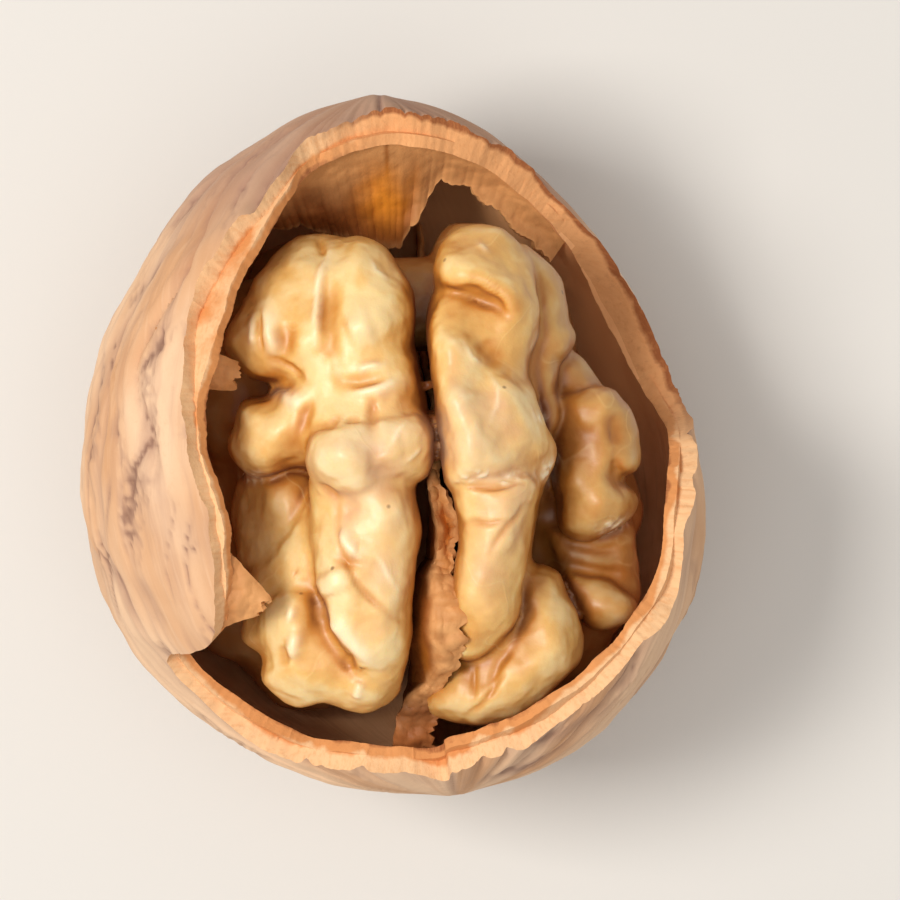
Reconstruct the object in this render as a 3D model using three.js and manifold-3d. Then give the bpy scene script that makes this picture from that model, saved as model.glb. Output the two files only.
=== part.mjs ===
// A walnut lying on its back with the near side of its shell broken away, so that the kernel shows.
// Millimetres, +Z up. The nut's long axis runs along Y, with the pointed tip towards +Y.
// Shapes are worked out in the nut's own frame, whose origin is the nut's centre, and the finished
// group is lifted so that the part stands on z = 0.
import * as THREE from "three";
import { ImprovedNoise } from "three/addons/math/ImprovedNoise.js";
import { mergeVertices } from "three/addons/utils/BufferGeometryUtils.js";
import Module from "manifold-3d";

const wasm = await Module();
wasm.setup();

// The nut: how far its outline reaches from its centre, every 30 degrees from +X towards +Y,
// and its half depth along Z.
const OUTLINE_RADII = [17.4, 16.6, 17.5, 19.5, 18.6, 17.5, 17.8, 18.7, 19.1, 19.7, 20.2, 19.3];
const HALF_DEPTH = 17.0;
const WALL = 1.6;
const REST_TRIM = 0.5; // how much of the back is flat, measured inwards from its lowest point
const CLEARANCE = 0.35; // gap between pieces that only lie against each other
const NUT_CENTRE = [0.045, 0.055, HALF_DEPTH - REST_TRIM]; // puts the part centrally over its origin

// The seam where the two half shells meet stands in an upright plane through the tip and the base.
const SEAM = { atCentre: 1.35, slope: -0.108, height: 0.32, halfWidth: 1.2 };
const TIP = { angle: 1.68, height: 0.25, spread: 0.22 };
const FURROWS = { height: 0.42, level: 0.6, depth: 2.2, around: 3.1, along: 0.2 };
const WANDER = { turn: 0.7, around: 1.3, along: 0.22 }; // how the furrows stray from straight
const OUTER_DETAIL = 13;
const INNER_DETAIL = 8;

// The broken edge, clockwise from the tip as the nut is seen from above: points on the shell's outside.
const BROKEN_EDGE = [
  [-0.8, 18.8, 5.4], [2.7, 18.0, 4.0], [6.1, 16.2, 1.5], [9.5, 13.2, -1.0], [12.4, 9.5, -3.0],
  [14.7, 4.9, -3.5], [16.0, 2.4, -2.5], [17.2, -0.2, 2.7], [16.8, -4.2, 5.4], [16.2, -7.6, 5.1],
  [14.5, -11.5, 6.6], [11.7, -14.5, 7.2], [7.7, -16.8, 7.1], [3.4, -18.3, 6.6], [3.0, -18.4, 5.6],
  [-0.7, -18.5, 5.8], [-5.2, -17.4, 4.7], [-7.5, -16.3, 4.5], [-10.0, -14.3, 4.6],
  [-12.2, -12.0, 5.4], [-12.0, -11.3, 6.9], [-10.4, -11.1, 9.0], [-8.8, -10.6, 10.8],
  [-8.8, -7.4, 13.3], [-9.3, -4.1, 14.0], [-10.6, -1.1, 13.8], [-11.4, 2.5, 13.0],
  [-11.2, 5.3, 12.0], [-10.4, 9.0, 10.5], [-7.9, 13.0, 9.6], [-6.5, 15.3, 8.5], [-5.2, 17.2, 6.9],
  [-2.9, 18.1, 6.0],
];
const EDGE_STEPS = 116;
const EDGE_TEETH = { turn: 0.035, size: 9 }; // how far the break wanders, in radians
const BREAK_REACH = 32;

// The shell's pale inner layer begins this deep, and stands out past the broken edge as a thin lip,
// widest at the upper left.
const INNER_LAYER = 0.95;
const LIP = { width: 0.3, wide: 1.25, wideAngle: 2.45, wideSpread: 0.38 };

// The kernel. Each part is one swelling mass, seen from its own heart, made of tapered folds that
// flow into each other: [from x, y, z, radius, to x, y, z, radius]. Detail is how finely it is faceted.
const KERNEL_PARTS = [
  {
    name: "left crown and belly",
    detail: 6,
    heart: [-3.2, 3.6, 4.5],
    soft: 0.8,
    folds: [
      [-7.0, 6.2, 6.8, 2.4, -4.3, 9.3, 6.4, 2.6],
      [-1.7, 8.9, 7.4, 2.9, -1.4, 6.2, 8.3, 2.6],
      [-3.5, 3.4, 8.0, 2.4, -0.9, 3.4, 8.4, 2.6],
      [-7.3, 1.3, 8.3, 1.3, -5.1, 1.4, 8.6, 1.5],
      [-7.8, -0.5, 8.0, 1.3, -5.1, 0.1, 8.6, 1.7],
      [-2.5, -0.2, 11.4, 2.7, -1.5, -0.3, 11.6, 2.6],
      [0.6, 0.9, 10.8, 1.5, 0.5, -0.6, 10.8, 1.8],
      [-3.4, 6.6, 4.0, 4.0, -3.0, 1.6, 5.6, 3.6],
    ],
  },
  {
    name: "left long fold",
    detail: 4,
    heart: [-2.2, -8.6, 5.5],
    soft: 0.7,
    folds: [
      [-0.9, -5.0, 10.5, 2.3, -1.5, -9.2, 9.7, 2.6],
      [-1.5, -9.2, 9.7, 2.6, -1.1, -11.4, 8.4, 1.9],
      [-2.9, -5.2, 9.7, 1.6, -3.2, -7.8, 9.1, 1.5],
      [-2.0, -5.0, 5.5, 2.8, -2.2, -9.5, 5.0, 3.0],
    ],
  },
  {
    name: "left foot",
    detail: 4,
    heart: [-4.2, -11.0, 3.6],
    soft: 0.7,
    folds: [
      [-5.2, -9.5, 6.3, 1.5, -5.0, -12.3, 6.0, 2.5],
      [-1.9, -12.8, 6.2, 2.2, -2.4, -12.2, 4.0, 2.4],
      [-7.9, -10.3, 4.1, 1.1, -9.5, -11.0, 2.0, 1.1],
      [-5.6, -9.0, 2.4, 2.6, -4.0, -11.4, 2.0, 3.0],
    ],
  },
  {
    name: "left flank",
    detail: 3,
    heart: [-6.0, -3.4, 0.5],
    soft: 0.9,
    folds: [
      [-5.8, -4.2, 1.1, 3.4, -5.2, -6.2, 4.6, 2.3],
      [-9.6, 2.6, 1.0, 3.6, -7.4, 6.4, 0.6, 3.6],
      [-10.2, -4.2, -1.6, 4.2, -8.4, -9.4, -1.6, 3.6],
      [-5.6, 2.0, 0.0, 4.6, -4.4, -7.0, 0.0, 4.2],
    ],
  },
  {
    name: "left back",
    detail: 3,
    heart: [-5.0, -0.5, -5.5],
    soft: 0.9,
    folds: [
      [-4.6, 7.8, -5.4, 4.2, -3.8, 4.0, -8.8, 4.2],
      [-4.2, -0.6, -9.2, 4.2, -4.0, -6.2, -9.0, 4.2],
      [-9.4, 3.4, -6.0, 3.6, -8.6, -1.8, -7.0, 3.6],
      [-8.4, -7.0, -5.6, 3.6, -5.0, -11.4, -4.4, 3.8],
    ],
  },
  {
    name: "right crown",
    detail: 4,
    heart: [6.0, 7.6, 3.6],
    soft: 0.6,
    folds: [
      [5.0, 9.8, 6.0, 2.6, 6.3, 9.6, 5.4, 2.4],
      [6.3, 7.1, 6.0, 2.2, 7.5, 5.4, 6.0, 1.9],
      [5.4, 7.6, 3.4, 2.8, 6.2, 4.4, 3.4, 2.8],
    ],
  },
  {
    name: "right ridge",
    detail: 5,
    heart: [5.6, 2.4, 7.6],
    soft: 0.7,
    folds: [
      [3.9, 6.7, 9.4, 1.9, 4.3, 3.4, 10.8, 2.1],
      [4.3, 3.4, 10.8, 2.1, 5.4, -0.2, 11.2, 2.2],
      [6.9, 2.0, 9.8, 2.0, 7.2, -0.3, 9.8, 1.9],
      [5.6, 4.6, 6.4, 2.2, 6.0, -1.4, 7.4, 2.4],
    ],
  },
  {
    name: "right stem",
    detail: 4,
    heart: [5.8, -5.6, 7.4],
    soft: 0.6,
    folds: [
      [5.8, -2.0, 10.4, 2.2, 5.7, -4.0, 10.2, 2.2],
      [5.7, -4.0, 10.2, 2.2, 5.6, -6.4, 9.4, 2.0],
      [5.6, -6.4, 9.4, 2.0, 5.4, -10.0, 7.8, 1.6],
      [5.8, -2.4, 6.0, 2.6, 5.8, -8.2, 5.2, 2.2],
    ],
  },
  {
    name: "right flank",
    detail: 4,
    heart: [7.4, 4.6, 1.4],
    soft: 0.7,
    folds: [
      [7.2, 8.5, 3.5, 2.4, 7.8, 6.0, 3.4, 2.4],
      [7.8, 6.0, 3.4, 2.4, 7.5, 2.6, 3.1, 2.1],
      [10.3, 3.5, 1.6, 1.5, 9.6, 0.3, 1.4, 2.4],
      [7.2, 6.4, -0.4, 3.6, 7.2, -1.0, 0.4, 3.8],
    ],
  },
  {
    name: "far fold",
    detail: 3,
    heart: [10.6, -0.6, 1.0],
    soft: 0.6,
    folds: [
      [11.6, 1.4, 4.1, 2.2, 11.7, -0.5, 4.3, 2.2],
      [11.5, -2.9, 4.6, 2.1, 11.2, -3.1, 4.0, 2.2],
      [10.6, 1.8, -0.6, 3.4, 10.8, -3.6, -0.6, 3.6],
    ],
  },
  {
    name: "far layers",
    detail: 3,
    heart: [10.2, -6.6, -0.6],
    soft: 0.7,
    folds: [
      [11.2, -5.2, 1.4, 2.4, 10.8, -6.6, 0.8, 2.7],
      [11.9, -8.6, 2.6, 1.6, 11.2, -8.7, 1.6, 1.9],
      [9.6, -5.0, -2.4, 4.2, 8.6, -10.0, -1.8, 4.0],
    ],
  },
  {
    name: "low fold",
    detail: 4,
    heart: [6.2, -12.0, 4.2],
    soft: 0.6,
    folds: [
      [8.5, -9.7, 5.4, 2.1, 7.6, -12.2, 5.4, 2.6],
      [7.6, -12.2, 5.4, 2.6, 4.9, -13.6, 4.8, 2.2],
      [2.8, -14.2, 4.9, 1.5, 3.9, -14.1, 4.4, 1.6],
      [7.2, -10.6, 2.8, 2.4, 5.2, -12.4, 2.6, 2.4],
    ],
  },
  {
    name: "right back",
    detail: 3,
    heart: [8.0, -0.5, -5.5],
    soft: 0.9,
    folds: [
      [7.4, 7.2, -5.2, 4.0, 7.2, 4.0, -8.6, 4.0],
      [7.4, -0.6, -9.0, 4.0, 7.4, -6.2, -8.8, 4.0],
      [11.2, 3.0, -5.4, 3.4, 11.0, -2.2, -6.2, 3.6],
      [10.4, -7.4, -5.2, 3.6, 7.6, -11.4, -3.8, 3.8],
    ],
  },
  {
    name: "bridge between the halves",
    detail: 2,
    heart: [2.0, 7.6, 0.2],
    soft: 0.6,
    folds: [
      [-2.0, 8.0, 0.8, 2.6, 5.6, 8.2, 0.6, 2.8],
      [4.2, 11.0, 0.2, 1.9, 4.6, 8.3, 0.0, 2.8],
    ],
  },
];

// The partition between the kernel's halves: where it passes across (y, x), and its outline (y, z).
const PARTITION_LINE = [
  [-20, 1.0], [-13.9, 1.3], [-11.6, 2.1], [-8.8, 2.4], [-5.0, 2.4], [-1.4, 2.8], [0.3, 2.75],
  [3.2, 1.95], [7.2, 1.6], [20, 1.4],
];
const PARTITION_OUTLINE = [
  [-22, 3.0], [-17.6, 3.2], [-16.0, 2.6], [-14.6, 4.4], [-13.2, 5.6], [-12.2, 5.4], [-11.0, 7.2],
  [-9.4, 7.4], [-8.2, 8.4], [-6.6, 8.2], [-5.0, 8.8], [-3.4, 9.0], [-2.2, 8.4], [-0.4, 7.6],
  [1.2, 5.4], [3.0, 3.2], [4.4, -0.6], [5.0, -4.4], [11.8, -4.4], [12.4, -1.8], [14.0, -1.2],
  [22, -1.2], [22, -20], [-22, -20],
];
const PARTITION_TOP = PARTITION_OUTLINE.slice(0, 18);
const PARTITION = { half: 0.35, lip: 0.3, lipDepth: 1.2, foot: 0.9, footAt: -17.2, footSpread: 2.2 };
const SLAB = { length: 44, height: 36, columns: 30, rows: 9 }; // the slab it is bent from

// The torn lining under the tip, by angle in degrees from +X: the height where it leaves the shell's
// wall, and how far from the nut's centre and how high its free edge lies.
const LINING_ROOT = [[50, -2.4], [69, 0.3], [81, 2.8], [92, 4.2], [107, 5.0], [121, 6.0], [134, 6.6]];
const LINING_REACH = [
  [50, 13.9], [60, 14.1], [68, 14.8], [75, 15.3], [80, 15.5], [82.5, 14.2], [84, 12.9], [88, 11.4],
  [94, 11.5], [103, 12.2], [108, 12.9], [115, 13.9], [122, 14.6], [134, 15.4],
];
const LINING_DROP = [
  [50, -3.2], [68, -1.0], [80, 0.8], [88, -0.8], [94, -0.8], [108, 0.4], [122, 2.5], [134, 3.5],
];
const LINING = { thickness: 0.85, sag: 0.5, teeth: 0.5, teethPerDegree: 0.37, columns: 38, rows: 3 };

// Loose flakes of the lining, each a bent four-cornered scrap: two corners at the wall, two free.
const FLAKES = [
  {
    name: "flake_upper_left",
    corners: [[-14.0, 6.6, 9.2], [-14.0, 3.4, 9.0], [-9.0, 3.2, 7.3], [-8.6, 4.6, 7.6]],
  },
  {
    name: "flake_lower_left",
    corners: [[-10.6, -5.4, 11.6], [-10.8, -10.2, 10.2], [-7.4, -9.3, 10.2], [-6.9, -8.3, 10.6]],
  },
  {
    name: "flake_bottom",
    corners: [[10.4, -16.6, 4.0], [14.0, -13.2, 4.0], [11.4, -12.3, 5.4], [10.3, -13.2, 5.7]],
  },
];
const FLAKE = { thickness: 0.6, bow: 0.35, columns: 4, rows: 3 };

const COLOURS = {
  shell: { color: 0xcf9f78, roughness: 0.8, metalness: 0 },
  kernel: { color: 0xe3bd78, roughness: 0.42, metalness: 0 },
  partition: { color: 0xa4642f, roughness: 0.75, metalness: 0 },
  lining: { color: 0xb9753c, roughness: 0.7, metalness: 0 },
};

const relief = new ImprovedNoise();

// The outline's radius at an angle, as a smooth closed curve through the named radii.
function outlineRadius(angle) {
  const count = OUTLINE_RADII.length;
  const turn = ((angle / (2 * Math.PI)) * count + count) % count;
  const before = Math.floor(turn);
  const share = turn - before;
  const [a, b, c, d] = [-1, 0, 1, 2].map((step) => OUTLINE_RADII[(before + step + count) % count]);
  const slope = c - a + share * (2 * a - 5 * b + 4 * c - d + share * (3 * (b - c) + d - a));
  return b + 0.5 * share * slope;
}

// How far the nut's surface is from its centre in a direction, a given depth inside the outside.
function nutRadius(direction, depth) {
  const across = Math.hypot(direction.x, direction.y);
  const reach = outlineRadius(Math.atan2(direction.y, direction.x)) - depth;
  return 1 / Math.hypot(across / reach, direction.z / (HALF_DEPTH - depth));
}

// Noise that closes on itself once round the nut.
function noiseRound(turn, size, along) {
  return relief.noise(along, Math.cos(turn) * size, Math.sin(turn) * size);
}

// The outside's relief: the seam's ridge, the pointed tip and the long furrows of the shell.
function shellRelief(point) {
  const fromSeam = point.x - (SEAM.atCentre + SEAM.slope * point.y);
  const seam = SEAM.height * Math.exp(-((fromSeam / SEAM.halfWidth) ** 2));
  const tipward = point.clone().normalize();
  const offTip = tipward.angleTo(new THREE.Vector3(Math.cos(TIP.angle), Math.sin(TIP.angle), 0));
  const tip = TIP.height * Math.exp(-((offTip / TIP.spread) ** 2));
  const turn = Math.atan2(point.z, fromSeam);
  const stray = WANDER.turn * noiseRound(turn, WANDER.around, point.y * WANDER.along);
  const folds = noiseRound(turn + stray, FURROWS.around, point.y * FURROWS.along);
  const furrow = FURROWS.height * (FURROWS.level - FURROWS.depth * Math.abs(folds));
  return seam + tip + furrow;
}

// Moves every vertex of a geometry and merges the ones that meet, ready to become a solid.
function moved(geometry, place) {
  const bare = new THREE.BufferGeometry().setAttribute("position", geometry.getAttribute("position"));
  if (geometry.index) bare.setIndex(geometry.index);
  const welded = mergeVertices(bare, 1e-4);
  const positions = welded.getAttribute("position");
  const point = new THREE.Vector3();
  for (let i = 0; i < positions.count; i++) {
    point.fromBufferAttribute(positions, i);
    const to = place(point.clone());
    positions.setXYZ(i, to.x, to.y, to.z);
  }
  return welded;
}

function solid(geometry) {
  const mesh = new wasm.Mesh({
    numProp: 3,
    vertProperties: geometry.getAttribute("position").array,
    triVerts: new Uint32Array(geometry.index.array),
  });
  return new wasm.Manifold(mesh);
}

function geometryOf(made) {
  const mesh = made.getMesh();
  return new THREE.BufferGeometry()
    .setAttribute("position", new THREE.BufferAttribute(mesh.vertProperties, 3))
    .setIndex(new THREE.BufferAttribute(mesh.triVerts, 1));
}

// A closed nut-shaped solid, a given depth inside the outside.
function nutSolid(depth, detail, outside) {
  return solid(
    moved(new THREE.IcosahedronGeometry(1, detail), (point) => {
      const direction = point.normalize();
      const surface = direction.clone().multiplyScalar(nutRadius(direction, depth));
      return outside ? surface.addScaledVector(direction, shellRelief(surface)) : surface;
    }),
  );
}

// What was broken out: a cone from the nut's heart through the broken edge. The lip is how far the
// edge is moved towards the top of the opening.
function brokenOut(lipAt) {
  const edge = new THREE.CatmullRomCurve3(BROKEN_EDGE.map((p) => new THREE.Vector3(...p)), true);
  const rim = edge.getSpacedPoints(EDGE_STEPS).slice(0, EDGE_STEPS).reverse();
  const cone = new THREE.ConeGeometry(1, 1, EDGE_STEPS, 1, false);
  return solid(
    moved(cone, (point) => {
      const onAxis = Math.hypot(point.x, point.z) < 0.5;
      if (onAxis) return new THREE.Vector3(0, 0, point.y > 0 ? 0 : BREAK_REACH);
      const turn = Math.atan2(point.z, point.x) / (2 * Math.PI);
      const step = Math.round(turn * EDGE_STEPS + EDGE_STEPS) % EDGE_STEPS;
      const direction = rim[step].clone().normalize();
      const at = direction.clone().multiplyScalar(EDGE_TEETH.size);
      const tooth = EDGE_TEETH.turn * relief.noise(at.x, at.y, at.z);
      const lip = lipAt(Math.atan2(direction.y, direction.x)) / HALF_DEPTH;
      const up = new THREE.Vector3(0, 0, 1).addScaledVector(direction, -direction.z).normalize();
      return direction.addScaledVector(up, tooth + lip).normalize().multiplyScalar(BREAK_REACH);
    }),
  );
}

function lipWidth(angle) {
  const fromWidest = (angle - LIP.wideAngle) / LIP.wideSpread;
  return LIP.width + LIP.wide * Math.exp(-(fromWidest ** 2));
}

function makeShell() {
  const surface = new THREE.BoxGeometry(BREAK_REACH, BREAK_REACH, BREAK_REACH);
  surface.translate(0, 0, REST_TRIM - HALF_DEPTH - BREAK_REACH / 2);
  const hollow = nutSolid(WALL, INNER_DETAIL, false);
  const middle = nutSolid(INNER_LAYER, INNER_DETAIL, false);
  const outer = nutSolid(0, OUTER_DETAIL, true).subtract(brokenOut(() => 0));
  const inner = middle.subtract(brokenOut(lipWidth));
  return outer
    .subtract(hollow)
    .add(inner.subtract(hollow))
    .subtract(solid(moved(surface, (point) => point)));
}

// Distance from a point to one tapered fold.
function foldDistance(point, [ax, ay, az, ar, bx, by, bz, br]) {
  const from = new THREE.Vector3(ax, ay, az);
  const along = new THREE.Vector3(bx, by, bz).sub(from);
  const share = THREE.MathUtils.clamp(point.clone().sub(from).dot(along) / along.lengthSq(), 0, 1);
  return point.distanceTo(from.addScaledVector(along, share)) - THREE.MathUtils.lerp(ar, br, share);
}

// Distance from a point to folds that flow into each other over a soft width.
function blendedDistance(point, folds, soft) {
  return folds
    .map((fold) => foldDistance(point, fold))
    .reduce((a, b) => Math.min(a, b) - Math.max(soft - Math.abs(a - b), 0) ** 2 / (4 * soft));
}

const DRAWN_FROM = 16; // a mass is drawn in from this far out, by most of the gap that is left each step
const DRAW = { steps: 60, share: 0.9, near: 0.005, least: 0.3 };

// One mass of the kernel: a ball drawn in from outside until it lies on the blended folds, or stands
// a little clear of them.
function kernelPart({ heart, detail, folds, soft }, clear) {
  const centre = new THREE.Vector3(...heart);
  return solid(
    moved(new THREE.IcosahedronGeometry(1, detail), (point) => {
      const direction = point.normalize();
      let reach = DRAWN_FROM;
      for (let step = 0; step < DRAW.steps; step++) {
        const at = centre.clone().addScaledVector(direction, reach);
        const gap = blendedDistance(at, folds, soft) - clear;
        reach = Math.max(reach - gap * DRAW.share, DRAW.least);
        if (Math.abs(gap) < DRAW.near) break;
      }
      return centre.clone().addScaledVector(direction, reach);
    }),
  );
}

function makeKernel(clear) {
  return KERNEL_PARTS.map((part) => kernelPart(part, clear)).reduce((whole, part) => whole.add(part));
}

// A value read off a line of [place, value] points.
function readLine(line, place) {
  const after = line.findIndex(([at]) => at > place);
  if (after === 0) return line[0][1];
  if (after < 0) return line[line.length - 1][1];
  const [[x0, y0], [x1, y1]] = [line[after - 1], line[after]];
  return y0 + ((y1 - y0) * (place - x0)) / (x1 - x0);
}

function makePartition() {
  const slab = new THREE.BoxGeometry(1, SLAB.length, SLAB.height, 1, SLAB.columns, SLAB.rows);
  const bent = moved(slab, (point) => {
    const fromTop = (point.z - readLine(PARTITION_TOP, point.y)) / PARTITION.lipDepth;
    const fromFoot = (point.y - PARTITION.footAt) / PARTITION.footSpread;
    const lip = PARTITION.lip * Math.exp(-(fromTop ** 2));
    const foot = PARTITION.foot * Math.exp(-(fromFoot ** 2));
    const half = PARTITION.half + lip + foot;
    return new THREE.Vector3(readLine(PARTITION_LINE, point.y) + 2 * point.x * half, point.y, point.z);
  });
  const outline = new THREE.Shape(PARTITION_OUTLINE.map(([y, z]) => new THREE.Vector2(y, z)));
  const block = new THREE.ExtrudeGeometry(outline, { depth: SLAB.height, bevelEnabled: false });
  const placed = moved(block, (point) => new THREE.Vector3(point.z - SLAB.height / 2, point.x, point.y));
  return solid(bent).intersect(solid(placed));
}

// The shell's inner wall, a given height above the nut's centre.
function wallReach(angle, height) {
  const depth = WALL + CLEARANCE;
  const share = height / (HALF_DEPTH - depth);
  return (outlineRadius(angle) - depth) * Math.sqrt(1 - share * share);
}

function makeLining() {
  const from = LINING_ROOT[0][0];
  const to = LINING_ROOT[LINING_ROOT.length - 1][0];
  const sheet = new THREE.BoxGeometry(1, 1, 1, LINING.columns, LINING.rows, 1);
  return solid(
    moved(sheet, (point) => {
      const degrees = THREE.MathUtils.lerp(from, to, 0.5 - point.x);
      const inwards = 0.5 - point.y;
      const angle = THREE.MathUtils.degToRad(degrees);
      const rootHeight = readLine(LINING_ROOT, degrees);
      const tooth = LINING.teeth * relief.noise(degrees * LINING.teethPerDegree, 0.5, 0.5);
      const root = wallReach(angle, rootHeight) + LINING.thickness / 2;
      const reach = THREE.MathUtils.lerp(root, readLine(LINING_REACH, degrees) + tooth, inwards);
      const height = THREE.MathUtils.lerp(rootHeight, readLine(LINING_DROP, degrees), inwards);
      const sag = LINING.sag * Math.sin(Math.PI * inwards);
      const thick = LINING.thickness * point.z;
      return new THREE.Vector3(reach * Math.cos(angle), reach * Math.sin(angle), height - sag + thick);
    }),
  );
}

function makeFlake({ corners }) {
  const [rootA, rootB, tipB, tipA] = corners.map((p) => new THREE.Vector3(...p));
  const across = rootB.clone().sub(rootA);
  const normal = tipA.clone().sub(rootA).cross(across).normalize();
  const scrap = new THREE.BoxGeometry(1, 1, 1, FLAKE.columns, FLAKE.rows, 1);
  return solid(
    moved(scrap, (point) => {
      const along = 0.5 - point.y;
      const side = point.x + 0.5;
      const root = rootA.clone().lerp(rootB, side);
      const tip = tipA.clone().lerp(tipB, side);
      const bow = FLAKE.bow * Math.sin(Math.PI * side) * (0.4 + along);
      return root.lerp(tip, along).addScaledVector(normal, bow + FLAKE.thickness * point.z);
    }),
  );
}

// The largest piece of a solid that trimming may have left with crumbs.
function wholePiece(made) {
  return made.decompose().reduce((a, b) => (a.volume() > b.volume() ? a : b));
}

function piece(name, made, look) {
  const mesh = new THREE.Mesh(geometryOf(made), new THREE.MeshStandardMaterial(look));
  mesh.name = name;
  return mesh;
}

const room = nutSolid(WALL + CLEARANCE, INNER_DETAIL, false);
const keptClear = makeKernel(CLEARANCE);
const fitted = (made) => wholePiece(made.intersect(room).subtract(keptClear));

const walnut = new THREE.Group();
walnut.add(piece("shell", makeShell(), COLOURS.shell));
walnut.add(piece("kernel", makeKernel(0).intersect(room), COLOURS.kernel));
walnut.add(piece("partition", fitted(makePartition()), COLOURS.partition));
walnut.add(piece("lining", fitted(makeLining()), COLOURS.lining));
for (const flake of FLAKES) {
  walnut.add(piece(flake.name, fitted(makeFlake(flake)), COLOURS.lining));
}
walnut.position.set(...NUT_CENTRE);

export default walnut;
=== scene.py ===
"""A walnut cracked open on its back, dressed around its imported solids.

The near side of the shell is broken away, so the folded kernel shows, with the papery partition
between its halves, the torn lining under the tip and a few loose flakes. Forms are worked out in
millimetres about the nut's centre and moved into the part's frame, in metres, when each is finished.
"""

import logging
import math
from dataclasses import dataclass, field
from enum import Enum
from functools import reduce

import bmesh
import bpy
import numpy as np
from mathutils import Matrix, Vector


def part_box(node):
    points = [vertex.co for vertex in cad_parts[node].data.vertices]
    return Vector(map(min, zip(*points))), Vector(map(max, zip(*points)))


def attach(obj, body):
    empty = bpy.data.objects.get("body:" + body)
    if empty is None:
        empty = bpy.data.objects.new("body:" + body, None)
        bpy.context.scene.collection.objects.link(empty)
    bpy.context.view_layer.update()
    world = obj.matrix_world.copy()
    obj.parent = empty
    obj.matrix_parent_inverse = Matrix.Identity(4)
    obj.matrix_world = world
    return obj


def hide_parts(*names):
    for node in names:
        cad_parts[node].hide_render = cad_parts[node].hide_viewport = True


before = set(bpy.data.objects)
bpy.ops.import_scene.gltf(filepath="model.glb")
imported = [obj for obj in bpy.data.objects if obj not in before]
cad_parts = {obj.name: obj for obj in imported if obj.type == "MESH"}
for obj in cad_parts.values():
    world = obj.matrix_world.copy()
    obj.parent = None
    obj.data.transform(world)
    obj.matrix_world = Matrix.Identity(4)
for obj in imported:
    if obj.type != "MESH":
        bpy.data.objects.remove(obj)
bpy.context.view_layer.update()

log = logging.getLogger("walnut")

METRES_PER_MM = 0.001
Points = np.ndarray
Values = np.ndarray
Layers = tuple[tuple[int, float, float], ...]
Pixels = tuple[tuple[float, float], ...]


class Grain:
    """Smooth repeatable noise in three dimensions, the same on every run."""

    def __init__(self, seed: int) -> None:
        """Draws the noise's slopes.

        Args:
            seed: which of the many noises this is.
        """
        draw = np.random.default_rng(seed)
        self.order = np.tile(draw.permutation(256), 3)
        slopes = draw.normal(size=(256, 3))
        self.slopes = slopes / np.linalg.norm(slopes, axis=1, keepdims=True)

    def at(self, points: Points, size: float = 1.0) -> Values:
        """Reads the noise.

        Args:
            points: places, one to a row.
            size: how long one swell of the noise is, in the points' units.

        Returns:
            A value from about -1 to 1 for each point.
        """
        scaled = points / size
        cell = np.floor(scaled).astype(int)
        inside = scaled - cell
        fade = inside**3 * (inside * (inside * 6 - 15) + 10)
        total = np.zeros(len(points))
        for corner in np.ndindex(2, 2, 2):
            at = (cell + corner) & 255
            slope = self.order[self.order[self.order[at[:, 0]] + at[:, 1]] + at[:, 2]]
            share = np.prod(np.where(corner, fade, 1 - fade), axis=1)
            total += share * np.einsum("ij,ij->i", self.slopes[slope], inside - corner)
        return total * 1.6

    def ridged(self, points: Points, size: float) -> Values:
        """Noise folded into sharp crests, from 0 in the hollows to 1 along the crests."""
        return 1 - np.minimum(np.abs(self.at(points, size)) * 2, 1)


def layered(points: Points, layers: Layers) -> Values:
    """Adds up layers of noise.

    Args:
        points: places, one to a row.
        layers: (seed, height, size of a swell) of each layer.

    Returns:
        Their sum at each point.
    """
    return sum(height * Grain(seed).at(points, size) for seed, height, size in layers)


def wander(points: Points, seed: int, height: float, size: float, ways: int) -> Points:
    """A smooth stray at each point, in two or three directions.

    Args:
        points: places, one to a row.
        seed: the first direction's noise.
        height: how far the stray goes.
        size: how long one swell of it is.
        ways: how many directions it has.

    Returns:
        How far each point strays, one to a row.
    """
    return height * np.column_stack([Grain(seed + way).at(points, size) for way in range(ways)])


def smooth_step(low: float, high: float, value: Values) -> Values:
    """Rises smoothly from 0 where value is low to 1 where it is high."""
    share = np.clip((value - low) / (high - low), 0, 1)
    return share * share * (3 - 2 * share)


def bump(distance: Values, width: float) -> Values:
    """A soft round swell: 1 at no distance, fading over a width."""
    return np.exp(-((distance / width) ** 2))


def linear(red: int, green: int, blue: int) -> tuple[float, float, float, float]:
    """Turns a colour as the eye names it, 0 to 255, into the renderer's linear values."""

    def one(value: int) -> float:
        share = value / 255
        return share / 12.92 if share <= 0.04045 else ((share + 0.055) / 1.055) ** 2.4

    return one(red), one(green), one(blue), 1.0


def read_line(line: tuple[tuple[float, float], ...], at: Values) -> Values:
    """Reads values off a line of (place, value) points."""
    places, values = zip(*line)
    return np.interp(at, places, values)


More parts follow.
